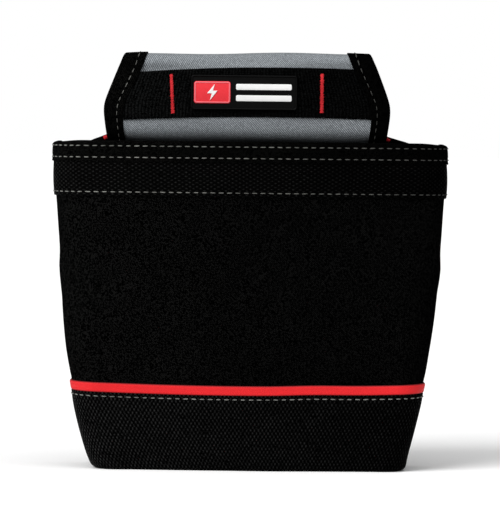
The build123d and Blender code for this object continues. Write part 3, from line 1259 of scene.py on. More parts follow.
@dataclass(frozen=True)
class ClothFinish:
    """A woven cloth, webbing or tape.

    Attributes:
        name: The material's name.
        slot: The record's material slot; not used.
        yarn: Colour on top of a yarn.
        gap: Colour between yarns.
        weave: How the yarns cross.
        pitch: Repeat of the weave along and across the piece, in millimetres.
        depth: Height of a yarn over the gap, in metres.
        roughness: Roughness on top of a yarn.
        specular: Strength of the plain reflection on top of a yarn; none between yarns.
        mottle: Share of the colour that changes from place to place.
        specks: Contrast of the fine light and dark specks of uneven yarn.
        filled: Share of the yarn that the specks leave light.
        painted_left_light: Painted light: how much paler the cloth is painted towards the left,
            where the key light falls.
        painted_right_light: Painted light: how fast it is painted paler again from the middle to
            the right.
        grain: Specks to the metre.
    """

    name: str
    slot: str
    yarn: Colour
    gap: Colour
    weave: Weave
    pitch: tuple[float, float]
    depth: float
    roughness: float = 0.85
    specular: float = 0.0
    mottle: float = 0.3
    specks: float = 1.0
    filled: float = 0.6
    painted_left_light: float = 1.0
    painted_right_light: float = 0.0
    grain: float = 1150.0

    def _relief(self, u: Wave, v: Wave) -> Wave:
        """The weave's height from 0 to 1.

        Twill: ridges of cos(u + v) with short breaks. Basket and plain: 1/2 + 1/2 cos u cos v,
        which is highest at staggered points. Dotted: the same, sharpened, over faint ribs.
        Ribbed: the size of sin u, crossed by fine filling yarns. Basket knots are sharpened.

        Args:
            u: Distance across the weave, in millimetres.
            v: Distance along the weave, in millimetres.

        Returns:
            The height.
        """
        along_u, along_v = self.pitch
        if self.weave is Weave.TWILL:
            slant = (u * (1.0 / along_u) + v * (1.0 / along_v)).hills(1.0) * 0.5 + 0.5
            breaks = (u * (1.0 / along_u) - v * (2.0 / along_v)).hills(1.0) * 0.22 + 0.78
            return slant * breaks
        knots = u.hills(along_u) * v.hills(along_v) * 0.5 + 0.5
        if self.weave is Weave.DOTTED:
            return knots.power(4.5) * 0.85 + (v.hills(along_v / 4.0) * 0.07 + 0.07)
        if self.weave is Weave.BASKET:
            return knots.power(2.6)
        if self.weave is Weave.RIBBED:
            ribs = (u * (math.pi / along_u)).sine().size().power(0.7)
            return ribs * (v.hills(along_v) * 0.18 + 0.82)
        return knots

    def material(self) -> bpy.types.Material:
        """Build the material: weave relief, mottled colour and a rough, barely shining top.

        The tone is relief * clouds * specks * painted side light (paler towards the left, as if lit
        there), each from 0 to 1.

        Returns:
            The material.
        """
        graph = Graph(self.name)
        u, v = graph.weave_mm()
        relief = self._relief(u, v).limited()
        clouds = graph.noise(38.0, 4.0) * self.mottle + (1.0 - self.mottle * 0.5)
        fuzz = graph.noise(self.grain, 0.0) * self.specks + (self.filled - self.specks * 0.5)
        fuzz = fuzz.limited()
        # Painted light: the tone is made paler towards the left, where the key light falls, and on
        # the black twill paler again towards the right; it is not the cloth's own colour.
        parts = graph.node("ShaderNodeSeparateXYZ")
        graph.feed(parts.inputs[0], graph.place_socket())
        sideways = Wave(graph, parts.outputs[0])
        painted_side_light = sideways * (-1.9 * self.painted_left_light) + (1.0 - 0.28 * self.painted_left_light)
        if self.painted_right_light:
            painted_side_light = painted_side_light + sideways.limited() * self.painted_right_light
        painted_side_light = painted_side_light.power(2.0).limited()
        tone = (relief * clouds * fuzz * painted_side_light).limited()
        colour = graph.blend_colours(tone, self.gap, self.yarn)
        rough = (relief * -0.12 + (self.roughness + 0.1)).limited()
        height = relief + graph.noise(900.0, 2.0) * 0.25
        normal = graph.bump(height, self.depth)
        gloss = tone * self.specular if self.specular else 0.0
        return graph.principled(colour, rough, normal, gloss)


@dataclass(frozen=True)
class TrimFinish:
    """The red strip: fine slanting weave, with painted shade along its two edges, where they turn
    under.

    Attributes:
        name: The material's name.
        slot: The record's material slot; not used.
        middle: Colour of the strip.
        edge: Colour of the painted shade at its two edges.
        width_mm: The strip's width in millimetres.
    """

    name: str = "red_trim_tape"
    slot: str = "red_trim"
    middle: Colour = (0.68, 0.009, 0.013)
    edge: Colour = (0.14, 0.002, 0.004)
    width_mm: float = 6.5

    def material(self) -> bpy.types.Material:
        """Build the material from the distance to the strip's middle line, with painted shade
        towards both edges.

        Returns:
            The material.
        """
        graph = Graph(self.name)
        u, v = graph.weave_mm()
        away = (v - self.width_mm / 2.0).size() * (2.0 / self.width_mm)
        # Painted shade: the colour darkens over the outer part of each half towards both edges,
        # where the strip turns under.
        edge = ((away - 0.70) * 4.5).limited()
        slant = (u * 0.9 + v * 0.9).hills(1.0) * 0.5 + 0.5
        body = (slant * 0.22 + 0.78) * (graph.noise(60.0) * 0.2 + 0.9)
        tone = (body * (edge * -1.0 + 1.0)).limited()
        colour = graph.blend_colours(tone, self.edge, self.middle)
        normal = graph.bump(slant, 0.12 * MM)
        return graph.principled(colour, 0.62, normal, 0.25)


@dataclass(frozen=True)
class ThreadFinish:
    """Sewing thread: two twisted plies, with light and dark stretches along a row.

    Attributes:
        name: The material's name.
        slot: The record's material slot; not used.
        light: Colour of a light stretch.
        dark: Colour of a dark stretch.
        painted_right_shade: Painted shade: how much duller the row is painted towards the right,
            away from the key light.
    """

    name: str
    slot: str
    light: Colour
    dark: Colour
    painted_right_shade: float = 0.0

    def material(self) -> bpy.types.Material:
        """Build the material: slanting ply marks, slow changes of tone, and painted shade that
        turns it duller to the right.

        Returns:
            The material.
        """
        graph = Graph(self.name)
        u, v = graph.weave_mm()
        plies = (u + v * 1.6).hills(0.55) * 0.5 + 0.5
        drift = graph.noise(75.0, 2.0) * 1.5 - 0.25
        # Painted shade: the row is made duller towards the right, away from the key light; it is
        # not the thread's own colour.
        parts = graph.node("ShaderNodeSeparateXYZ")
        graph.feed(parts.inputs[0], graph.place_socket())
        painted_side_shade = Wave(graph, parts.outputs[0]) * (-self.painted_right_shade * 4.0) + (1.0 - self.painted_right_shade * 0.5)
        tone = (drift * (plies * 0.35 + 0.65) * painted_side_shade.limited()).limited()
        colour = graph.blend_colours(tone, self.dark, self.light)
        return graph.principled(colour, 0.6, graph.bump(plies, 0.08 * MM), 0.25)


@dataclass(frozen=True)
class RubberFinish:
    """Moulded rubber: a fine matt grain and faint clouds of tone.

    Attributes:
        name: The material's name.
        slot: The record's material slot; not used.
        colour: The rubber's colour.
        roughness: Its mean roughness.
        specular: Strength of the plain reflection.
    """

    name: str
    slot: str
    colour: Colour
    roughness: float = 0.5
    specular: float = 0.3

    def material(self) -> bpy.types.Material:
        """Build the material: grain in the surface and a little change of tone.

        Returns:
            The material.
        """
        graph = Graph(self.name)
        clouds = graph.noise(160.0, 3.0)
        dull = tuple(channel * 0.82 for channel in self.colour)
        colour = graph.blend_colours(clouds, dull, self.colour)
        rough = graph.noise(900.0, 2.0) * 0.16 + (self.roughness - 0.08)
        normal = graph.bump(graph.noise(2600.0, 2.0), 0.05 * MM)
        return graph.principled(colour, rough, normal, self.specular)


@dataclass(frozen=True)
class BoardFinish:
    """Plain stiffening board: dull black plastic with a faint pressed grain.

    Attributes:
        name: The material's name.
        slot: The record's material slot; not used.
        colour: The board's colour.
    """

    name: str = "stiffening_board"
    slot: str = "stiff_board"
    colour: Colour = (0.006, 0.006, 0.006)

    def material(self) -> bpy.types.Material:
        """Build the material from two grains of noise on Object coordinates.

        Returns:
            The material.
        """
        graph = Graph(self.name)
        grain = graph.noise(700.0, 3.0)
        light = tuple(channel * 1.5 for channel in self.colour)
        colour = graph.blend_colours(grain, self.colour, light)
        rough = graph.noise(120.0, 2.0) * 0.2 + 0.5
        return graph.principled(colour, rough, graph.bump(grain, 0.1 * MM), 0.3)


@dataclass
class Finishes:
    """Every finish on the pouch, each made into a material once, when it is first asked for."""

    # Every black cloth below is painted paler towards the left as painted light, and the black
    # twill also towards the right. The grey cloth has none.
    black_cloth: ClothFinish = ClothFinish(
        "black_twill_cloth", "black_twill", (0.0155, 0.0155, 0.0151), (0.0001, 0.0001, 0.0001),
        Weave.TWILL, (1.15, 1.15), 0.16 * MM, specular=0.01, mottle=0.5, specks=6.0,
        filled=0.36, grain=1250.0, painted_right_light=1.4,
    )
    boot_cloth: ClothFinish = ClothFinish(
        "black_ballistic_cloth", "black_ballistic",
        (0.0245, 0.0245, 0.0245), (0.0001, 0.0001, 0.0001),
        Weave.BASKET, (2.7, 3.8), 0.3 * MM, roughness=0.5, specular=0.12, mottle=0.8, specks=2.0,
    )
    webbing: ClothFinish = ClothFinish(
        "mouth_webbing_weave", "black_webbing", (0.018, 0.018, 0.0173), (0.0001, 0.0001, 0.0001),
        Weave.DOTTED, (4.1, 2.55), 0.3 * MM, roughness=0.5, specular=0.12, mottle=0.9, specks=1.6,
    )
    strap: ClothFinish = ClothFinish(
        "strap_webbing_weave", "black_webbing", (0.0078, 0.0084, 0.0084), (0.0001, 0.0001, 0.0001),
        Weave.RIBBED, (2.2, 1.1), 0.25 * MM, roughness=0.6, specular=0.04, mottle=0.7, specks=2.5,
    )
    tape: ClothFinish = ClothFinish(
        "binding_tape_weave", "binding_tape", (0.0062, 0.0062, 0.0058), (0.0001, 0.0001, 0.0001),
        Weave.PLAIN, (1.3, 1.3), 0.14 * MM, specular=0.02, mottle=0.9, specks=3.0,
    )
    grey_cloth: ClothFinish = ClothFinish(
        "grey_twill_cloth", "grey_twill", (0.545, 0.583, 0.617), (0.083, 0.091, 0.098),
        Weave.TWILL, (1.5, 1.5), 0.25 * MM,
        roughness=0.7, specular=0.1, mottle=0.3, specks=1.0, painted_left_light=0.0,
    )
    trim: TrimFinish = TrimFinish()
    # The grey thread's last value paints it duller towards the right: painted shade.
    grey_thread: ThreadFinish = ThreadFinish(
        "grey_sewing_thread", "grey_thread", (0.42, 0.42, 0.385), (0.018, 0.018, 0.016), 1.0
    )
    boot_thread: ThreadFinish = ThreadFinish(
        "boot_sewing_thread", "grey_thread", (0.30, 0.31, 0.285), (0.05, 0.052, 0.046)
    )
    red_thread: ThreadFinish = ThreadFinish(
        "red_tack_thread", "red_thread", (0.90, 0.04, 0.05), (0.45, 0.006, 0.012)
    )
    badge_black: RubberFinish = RubberFinish(
        "badge_black_rubber", "badge_black", (0.0012, 0.0012, 0.0012), 0.38, 0.07
    )
    badge_red: RubberFinish = RubberFinish(
        "badge_red_rubber", "badge_red", (0.78, 0.022, 0.034), 0.45, 0.35
    )
    # Painted highlight: a lit copy of the red rubber, for the bevel round the red tile.
    badge_red_highlight: RubberFinish = RubberFinish(
        "badge_pale_red_rubber", "badge_red", (0.86, 0.16, 0.19), 0.4, 0.4
    )
    badge_white: RubberFinish = RubberFinish(
        "badge_white_rubber", "badge_white", (0.84, 0.84, 0.83), 0.5, 0.3
    )
    board: BoardFinish = BoardFinish()
    _made: dict = field(default_factory=dict)

    def dress(self, piece: bpy.types.Object, finish: object) -> None:
        """Give a piece its only material.

        Args:
            piece: The piece.
            finish: Its finish.
        """
        if finish.name not in self._made:
            self._made[finish.name] = finish.material()
        piece.data.materials.clear()
        piece.data.materials.append(self._made[finish.name])


# ---------------------------------------------------------------------------
# Sub-assemblies
# ---------------------------------------------------------------------------


@dataclass
class Assembly:
    """What every sub-assembly shares: its body in the frame and the finishes."""

    body: str
    finishes: Finishes

    def settle(
        self, piece: bpy.types.Object, finish: object, *nodes: str, body: Optional[str] = None
    ) -> bpy.types.Object:
        """Dress a piece, put it on its body and hide the nodes that it stands for.

        Args:
            piece: The new piece.
            finish: Its finish.
            *nodes: The frame's nodes that it replaces.
            body: Another body than the assembly's own.

        Returns:
            The same piece.
        """
        self.finishes.dress(piece, finish)
        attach(piece, body or self.body)
        if nodes:
            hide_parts(*nodes)
        LOG.info("%s: %d faces", piece.name, len(piece.data.polygons))
        return piece


@dataclass
class Bag(Assembly):
    """The bag: front and side cloth, lining, boot, floor and the tape over its seams.

    Attributes:
        wall: The bag's wall.
        back: The flat back.
        path_step: Distance between stations along the wall.
        boot_curl: Radius of the boot's bend under the bottom.
    """

    wall: WallShape
    back: BackShape
    path_step: float = 2.2 * MM
    boot_curl: float = 3.2 * MM

    def front_cloth(self) -> None:
        """One cloth from the left back seam round the front to the right back seam."""
        low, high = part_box("front_panel")
        strip = Section.strip([(low.z, -PANEL_T / 2), (high.z, -PANEL_T / 2)], PANEL_T, 2.4 * MM)
        path = self.wall.path(self.path_step)
        piece = sweep("front_cloth", path, path, strip, self.wall.place)
        self.settle(piece, self.finishes.black_cloth, "front_panel")
        2.0 * self.wall.reach

    def boot(self) -> None:
        """Heavy cloth round the foot of the bag, curled under at the bottom."""
        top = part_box("boot_panel")[1].z
        middle, under = BOOT_T / 2, BOOT_T / 2 + 0.1 * MM
        line = [(under, middle - 2.2 * self.boot_curl), (under, middle), (top, middle)]
        strip = Section.strip(line, BOOT_T, 1.6 * MM, radii=[self.boot_curl])
        path = self.wall.path(1.8 * MM)
        piece = sweep("boot_cloth", path, path, strip, self.wall.place)
        self.settle(piece, self.finishes.boot_cloth, "boot_panel")
        2.0 * self.wall.reach
        top + 2.0 * self.boot_curl

    def _floor_plate(self, name: str, node: str, inset: float) -> bpy.types.Object:
        """A level plate whose front edge follows the wall's own outline.

        Args:
            name: The piece's name.
            node: The frame's node that gives its two heights and its back edge.
            inset: How far it ends inside the wall's plain outline.

        Returns:
            The finished plate.
        """
        low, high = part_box(node)
        half = float(self.wall.half_width(np.array(0.0))) - inset
        front = float(self.wall.front(np.array(0.0))) + inset
        radius = self.wall.corner - inset
        strip = Section.strip([(0.0, 0.0), (1.0, 0.0)], 1.0, 0.04, tip=0.02)

        def place(x: Array, share: Array, out: Array) -> Array:
            """Points behind the front edge, which bends back by r - sqrt(r^2 - past^2).

            Args:
                x: Place across the pouch.
                share: From 0 at the front edge to 1 at the back.
                out: From -1/2 at the underside to 1/2 at the top.

            Returns:
                The points, with x, y and z last.
            """
            past = np.clip(np.abs(x) - (half - radius), 0.0, radius)
            near = front + radius - np.sqrt(radius**2 - past**2)
            y = near + (high.y - near) * share
            z = low.z + (high.z - low.z) * (0.5 + out)
            middle = float(self.wall.centre(np.array(0.0)))
            return np.stack(np.broadcast_arrays(x + middle, y, z), -1)

        turn = half * np.sin(np.linspace(-math.pi / 2, math.pi / 2, 121))
        return sweep(name, turn, turn, strip, place, lambda points: points[..., :2])

    def floor(self) -> None:
        """The bottom cloth, and the board that lies on it."""
        cloth = self._floor_plate("floor_cloth", "bottom_panel", self.boot_curl * 0.6)
        self.settle(cloth, self.finishes.boot_cloth, "bottom_panel")
        board = self._floor_plate("floor_board", "base_board", self.boot_curl * 0.6 + 5.2 * MM)
        self.settle(board, self.finishes.board, "base_board")

    def _between_walls(self, depth: float, gap: float) -> Place:
        """Placing on an upright layer inside the back, as wide as the bag is there.

        The path runs from -1 at the left wall to 1 at the right one, and x is the straight
        mix of the two walls' inner faces at that height.

        Args:
            depth: The layer's middle, as a y.
            gap: How far it ends from the wall's inner face.

        Returns:
            The placing function.
        """
        seam = self.wall.reach - (self.wall.back - depth)

        def place(share: Array, height: Array, out: Array) -> Array:
            """Points on the straight mix of the two walls' inner faces.

            Args:
                share: From -1 at the left wall to 1 at the right.
                height: Height over the base.
                out: Distance back from the layer's middle.

            Returns:
                The points, with x, y and z last.
            """
            inside = np.array(-PANEL_T - gap)
            left = self.wall.place(np.array(-seam), height, inside)[..., 0]
            right = self.wall.place(np.array(seam), height, inside)[..., 0]
            x = left + (right - left) * (share + 1.0) / 2.0
            return np.stack(np.broadcast_arrays(x, depth + out, height), -1)

        return place

    def lining(self) -> None:
        """The thin cloth inside the back, over its stiffening board."""
        low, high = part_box("back_lining")
        depth = (low.y + high.y) / 2.0
        strip = Section.strip([(low.z, 0.0), (high.z, 0.0)], high.y - low.y, 4.0 * MM)
        share = np.linspace(-1.0, 1.0, 61)
        place = self._between_walls(depth, 0.2 * MM)
        piece = sweep("inner_lining", share, share * high.x, strip, place)
        self.settle(piece, self.finishes.black_cloth, "back_lining")

    def back_board(self) -> None:
        """The stiffening board between the lining and the back cloth."""
        low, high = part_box("back_stiffener")
        depth = (low.y + high.y) / 2.0
        line = [(low.z, 0.0), (high.z - 1.2 * MM, 0.0)]
        strip = Section.strip(line, high.y - low.y, 4.0 * MM)
        share = np.linspace(-1.0, 1.0, 61)
        place = self._between_walls(depth, 0.8 * MM)
        piece = sweep("back_board", share, share * high.x, strip, place)
        self.settle(piece, self.finishes.board, "back_stiffener")

    def seam_tapes(self) -> None:
        """Tape over the raw seams in the two back corners, inside the bag."""
        middle = -PANEL_T - SEAM_TAPE_T / 2
        for side, name in ((-1, "left"), (1, "right")):
            low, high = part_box(f"side_seam_tape_{name}")
            strip = Section.strip([(low.z, middle), (high.z, middle)], SEAM_TAPE_T, 3.0 * MM)
            last = self.wall.reach - (self.wall.back - high.y)
            path = side * np.linspace(last - (high.y - low.y), last, 8)
            piece = sweep(f"seam_tape_{name}", path, path, strip, self.wall.place)
            self.settle(piece, self.finishes.tape, f"side_seam_tape_{name}")

    def corner_tapes(self) -> None:
        """The back cloth's two top corners, each with tape folded over it."""
        gap = BACK_T / 2 + BINDING_T / 2
        for side, name in ((-1, "left"), (1, "right")):
            low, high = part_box(f"corner_binding_{name}")
            inner, outer = sorted((abs(low.x), abs(high.x)))
            path = side * np.linspace(inner, outer + 1.6 * MM, 14)
            top = high.z - BINDING_T / 2
            line = [(low.z, gap), (top, gap), (top, -gap), (low.z, -gap)]
            strip = Section.strip(line, BINDING_T, 2.0 * MM, radii=[gap * 0.98, gap * 0.98])
            place = self._drooped(inner, outer)
            piece = sweep(f"corner_tape_{name}", path, path, strip, place)
            self.settle(piece, self.finishes.tape, f"corner_binding_{name}")
            tab = Section.strip([(low.z - 2.0 * MM, 0.0), (top, 0.0)], BACK_T, 3.0 * MM)
            piece = sweep(f"back_corner_{name}", path, path, tab, place)
            self.settle(piece, self.finishes.black_cloth)

    def _drooped(self, inner: float, outer: float) -> Place:
        """Placing on the flat back, sinking slightly all along and more at the outer corner.

        Args:
            inner: Where the corner starts, as a distance from the middle.
            outer: Where it ends.

        Returns:
            The placing function.
        """

        def place(x: Array, height: Array, out: Array) -> Array:
            """Points at an x, a height less the droop, and a distance back."""
            droop = 0.9 * MM + 1.1 * MM * smooth(np.abs(x), inner, outer)
            return self.back.place_flat(x, height - droop, out)

        return place

    def build(self) -> None:
        """Make every piece of the bag."""
        self.front_cloth()
        self.boot()
        self.floor()
        self.lining()
        self.back_board()
        self.seam_tapes()
        self.corner_tapes()


@dataclass
class Mouth(Assembly):
    """The webbing and folded tape round the mouth, the red trim, and the stitch rows.

    Attributes:
        wall: The bag's wall.
        path_step: Distance between stations along the wall.
        stitch: The stitches round the mouth.
        boot_stitch: The longer stitches along the boot.
    """

    wall: WallShape
    path_step: float = 2.0 * MM
    stitch: StitchRow = StitchRow(radius=0.33 * MM)
    boot_stitch: StitchRow = StitchRow(pitch=5.4 * MM, length=3.7 * MM, radius=0.34 * MM)

    def webbing(self) -> None:
        """A band of webbing below the rim, its top edge tucked under the tape."""
        low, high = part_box("mouth_webbing")
        middle = WEBBING_T / 2
        strip = Section.strip([(low.z, middle), (high.z, middle)], WEBBING_T, 1.6 * MM)
        path = self.wall.path(self.path_step)
        piece = sweep("mouth_webbing_band", path, path, strip, self.wall.place)
        self.settle(piece, self.finishes.webbing, "mouth_webbing")

    def tape(self) -> None:
        """Tape folded over the rim, pressed in a little along both rows of stitches."""
        low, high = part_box("mouth_binding")
        outer = WEBBING_T + BINDING_T / 2
        inner = -PANEL_T - BINDING_T / 2
        top = high.z - BINDING_T / 2
        line = [(low.z, outer), (top, outer), (top, inner), (low.z, inner)]
        bend = (outer - inner) / 2 * 0.96
        strip = Section.strip(line, BINDING_T, 1.2 * MM, radii=[bend, bend])
        rows = [self._row_height(name) for name in ("mouth_thread_upper", "mouth_thread_lower")]

        def place(distance: Array, height: Array, out: Array) -> Array:
            """Points on the wall, pressed in by a bell along each row."""
            press = sum(bell(height, row, 1.3 * MM) for row in rows) * 0.28 * MM
            return self.wall.place(distance, height, out - press * np.sign(out))

        path = self.wall.path(self.path_step)
        piece = sweep("mouth_tape", path, path, strip, place)
        self.settle(piece, self.finishes.tape, "mouth_binding")

    def trim(self) -> None:
        """The red strip: a low lens in section, along the boot's upper edge."""
        low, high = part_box("red_trim")
        spread = 0.35 * MM
        line = [(low.z - spread, 0.5 * MM), (high.z + spread, 0.5 * MM)]
        strip = Section.strip(line, 2.2 * MM, 0.5 * MM, tip=1.6 * MM)
        path = self.wall.path(self.path_step)
        piece = sweep("red_trim_strip", path, path, strip, self.wall.place)
        self.settle(piece, self.finishes.trim, "red_trim")

    def _row_height(self, node: str) -> float:
        """The middle height of a row of stitches in the frame.

        Args:
            node: The row's node.

        Returns:
            The height.
        """
        low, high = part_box(node)
        return (low.z + high.z) / 2.0

    def stitches(self) -> None:
        """Four rows round the wall, each on the face of the band that it holds."""
        band = WEBBING_T + BINDING_T
        rows = {
            "mouth_thread_upper": band - 0.2 * MM,
            "mouth_thread_lower": band - 0.2 * MM,
            "webbing_thread": WEBBING_T,
            "boot_thread": BOOT_T,
        }
        edge = self.wall.reach - 2.0 * MM
        for seed, (node, out) in enumerate(rows.items()):
            on_boot = node == "boot_thread"
            stitch = self.boot_stitch if on_boot else self.stitch
            finish = self.finishes.boot_thread if on_boot else self.finishes.grey_thread
            centre = stitch.centres(-edge, edge)
            height = np.full_like(centre, self._row_height(node))
            face = np.full_like(centre, out)
            piece = stitch.build(f"{node}_row", centre, height, face, self.wall.place, seed)
            self.settle(piece, finish, node)

    def build(self) -> None:
        """Make every piece round the mouth and the boot's edge."""
        self.webbing()
        self.tape()
        self.trim()
        self.stitches()


@dataclass
class Back(Assembly):
    """The back cloth: one piece from the floor through the neck to the top of the tunnel.

    Attributes:
        back: The flat back.
        bend_reach: Distance above and below the neck of two end points that are worked out and not
            used.
    """

    back: BackShape
    bend_reach: float = 5.0 * MM

    def cloth(self) -> None:
        """One cloth from the floor up through the narrow neck to the top of the tunnel."""
        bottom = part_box("back_panel")[0].z
        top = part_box("shoulder_panel")[1].z
        strip = Section.strip([(bottom, 0.0), (top, 0.0)], BACK_T, 1.6 * MM)
        share = np.linspace(-1.0, 1.0, 151)
        piece = sweep(
            "back_cloth", share, share * self.back.neck_half, strip, self.back.place,
            lambda points: points[..., [0, 2]],
        )
        nodes = ("back_panel", "shoulder_panel", "neck_seam_roll")
        self.finishes.dress(piece, self.finishes.black_cloth)
        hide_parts(*nodes)
        neck = self.back.neck
        start = (0.0, self.back.middle_y, neck - self.bend_reach)
        end = (0.0, self.back.middle_y, neck + self.bend_reach)
        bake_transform(piece)
        LOG.info("%s: %d faces", piece.name, len(piece.data.polygons))

    def build(self) -> None:
        """Make the back."""
        self.cloth()


@dataclass
class Tunnel(Assembly):
    """The belt tunnel: grey flap, lining, bound edges, hem, strap and bar tacks.

    Attributes:
        loop: The tunnel's loop.
        lap_height: Height at which the flap's back end is lapped over the shoulders.
        binding_width: Width of the tape on each side of an edge.
        row_inset: Distance of the stitches from the edge.
        strap_margin: How far inside the edges the strap ends.
        strap_droop: How far the strap sinks at its left end.
        rib_pitch: Distance from one rib of the strap to the next.
        rib_height: Height of a rib.
        stitch: The stitches along the edge tape.
        tack_stitch: The close stitches of a bar tack.
    """

    loop: LoopShape
    lap_height: float = 245.0 * MM
    binding_width: float = 13.0 * MM
    row_inset: float = 7.5 * MM
    strap_margin: float = 9.5 * MM
    strap_droop: float = 2.6 * MM
    rib_pitch: float = 2.2 * MM
    rib_height: float = 0.16 * MM
    stitch: StitchRow = StitchRow(pitch=4.6 * MM, length=3.1 * MM, radius=0.28 * MM)
    tack_stitch: StitchRow = StitchRow(
        pitch=0.62 * MM, length=2.7 * MM, radius=0.36 * MM, sides=6, rings=4, unevenness=0.2
    )

    def flap(self) -> None:
        """Grey cloth: up the front, over the top and down the back to a lapped seam."""
        end = self.loop.station_at(self.lap_height, on_back=True)
        line = [(0.0, -FLAP_T / 2), (end, -FLAP_T / 2)]
        strip = Section.strip(line, FLAP_T, 1.3 * MM)
        share = np.linspace(-1.0, 1.0, 141)
        piece = sweep(
            "grey_flap", share, share * self.loop.widest, strip, self.loop.place_cloth(0.0)
        )
        self.settle(piece, self.finishes.grey_cloth, "tunnel_flap")

    def lining(self) -> None:
        """Black cloth on the inside of the flap's front."""
        end = self.loop.station_at(self.loop.top - 6.0 * MM)
        out = -FLAP_T - FLAP_LINING_T / 2
        strip = Section.strip([(4.0 * MM, out), (end, out)], FLAP_LINING_T, 2.5 * MM)
        share = np.linspace(-1.0, 1.0, 81)
        piece = sweep(
            "flap_lining", share, share * self.loop.widest, strip, self.loop.place_cloth(0.0)
        )
        self.settle(piece, self.finishes.black_cloth, "tunnel_lining")

    def hem(self) -> None:
        """Tape along the flap's foot, where it is sewn down inside the mouth."""
        low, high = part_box("flap_hem_tape")
        end = self.loop.station_at(high.z - 1.6 * MM)
        middle = BINDING_T / 2
        strip = Section.strip([(0.5 * MM, middle), (end, middle)], BINDING_T, 1.5 * MM)
        share = np.linspace(-1.0, 1.0, 61)
        piece = sweep(
            "hem_tape", share, share * high.x, strip, self.loop.place_cloth(self.binding_width)
        )
        self.settle(piece, self.finishes.tape, "flap_hem_tape")

    def _strap_rise(self, station: Array) -> Array:
        """A rise from 0 to 1 where the strap runs under the edge tape, and back to 0 above it.

        Args:
            station: Distance from the front foot.

        Returns:
            The rise.
        """
        low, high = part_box("front_strap")
        first, last = self.loop.station_at(low.z), self.loop.station_at(high.z)
        rise = smooth(station, first - 3.0 * MM, first + 0.5 * MM)
        return rise * (1.0 - smooth(station, last - 0.5 * MM, last + 3.0 * MM))

    def _edge_place(self, side: int) -> Place:
        """Placing on one bound edge, lifted where the strap's end runs under the tape.

        Args:
            side: -1 for the left edge, 1 for the right.

        Returns:
            The placing function.
        """
        plain = self.loop.place_edge(side)

        def place(station: Array, inset: Array, out: Array) -> Array:
            """Points on the edge, with the tape narrower low down and lifted over the strap.

            Args:
                station: Distance from the front foot.
                inset: Distance inwards from the edge.
                out: Distance out from the cloth's face.

            Returns:
                The points, with x, y and z last.
            """
            height = self.loop.on_line(station)[1]
            inset = inset * (0.80 + 0.27 * smooth(height, 0.214, 0.258))
            outer_share = smooth(out, -1.6 * MM, 0.3 * MM) * smooth(inset, 0.0, 4.0 * MM)
            lift = STRAP_T * self._strap_rise(station) * outer_share
            return plain(station, inset, out + lift)

        return place

    def edge_tapes(self) -> None:
        """Tape folded over each open end of the tunnel, all round the loop, with one row."""
        outer = BINDING_T / 2
        inner = -FLAP_T - FLAP_LINING_T - BINDING_T / 2
        fold = (outer - inner) / 2
        length = self.loop.length()
        for side, name in ((-1, "left"), (1, "right")):
            turn = fold - 1.0 * MM
            line = [
                (self.binding_width, outer),
                (turn - fold, outer),
                (turn - fold, inner),
                (self.binding_width - 1.0 * MM, inner),
            ]
            strip = Section.strip(line, BINDING_T, 1.2 * MM, radii=[fold * 0.98, fold * 0.98])
            path = np.linspace(0.6 * MM, length - 1.0 * MM, 110)
            place = self._edge_place(side)
            piece = sweep(f"edge_tape_{name}", path, path, strip, place)
            self.settle(piece, self.finishes.tape, f"tunnel_binding_{name}")
            centre = self.stitch.centres(2.0 * MM, length - 3.0 * MM)
            inset = np.full_like(centre, self.row_inset + 0.9 * MM)
            face = np.full_like(centre, BINDING_T)
            row = self.stitch.build(
                f"edge_thread_{name}", centre, inset, face, place, 20 + side
            )
            self.settle(row, self.finishes.grey_thread, f"tunnel_thread_{name}")

    def _strap_place(self, face: float) -> Place:
        """Placing on the strap, which droops at its ends and has ribs |sin|^0.7 on its face.

        Args:
            face: Distance from the flap's face to the strap's back.

        Returns:
            The placing function.
        """
        plain = self.loop.place_cloth(self.strap_margin)

        def place(share: Array, station: Array, out: Array) -> Array:
            """Points on the drooping strap, raised by h |sin|^0.7 on its outer face.

            Args:
                share: From -1 at the left end to 1 at the right.
                station: Distance from the front foot.
                out: Distance out from the strap's back.

            Returns:
                The points, with x, y and z last.
            """
            droop = self.strap_droop * np.clip(-share, 0.0, 1.0) ** 1.6
            droop = droop + 0.4 * self.strap_droop * np.clip(share, 0.0, 1.0) ** 3
            width = self.loop.widest - self.strap_margin
            ribs = np.abs(np.sin(math.pi * share * width / self.rib_pitch)) ** 0.7
            relief = self.rib_height * ribs * smooth(out, 0.8 * STRAP_T, STRAP_T)
            return plain(share, station - droop, out + relief + face)

        return place

    def strap(self) -> None:
        """Ribbed webbing across the front, its ends under the edge tapes."""
        low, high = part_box("front_strap")
        first, last = self.loop.station_at(low.z), self.loop.station_at(high.z)
        middle = STRAP_T / 2
        strip = Section.strip([(first, middle), (last, middle)], STRAP_T, 2.2 * MM)
        width = self.loop.widest - self.strap_margin
        count = int(2.0 * width / self.rib_pitch * 6)
        share = np.linspace(-1.0, 1.0, count)
        piece = sweep("belt_strap", share, share * width, strip, self._strap_place(0.0))
        self.settle(piece, self.finishes.strap, "front_strap")

    def strap_tacks(self) -> None:
        """Red bar tacks up the strap: close stitches across a narrow upright bar."""
        for seed, name in enumerate(("left", "right")):
            low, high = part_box(f"strap_tack_{name}")
            x = (low.x + high.x) / 2.0
            face = low.y + 0.45 * MM
            height = self.tack_stitch.centres(low.z, high.z)
            droop, slope = (1.2 * MM, -0.052) if x < 0 else (0.0, 0.0)
            middle, shift = (low.z + high.z) / 2.0, 0.8 * MM if x < 0 else 0.0

            def place(sideways: Array, up: Array, out: Array) -> Array:
                """Points on the strap's face, sloping a little with height."""
                along_x = x + shift + sideways + slope * (up - middle)
                return np.stack(np.broadcast_arrays(along_x, face - out, up - droop), -1)

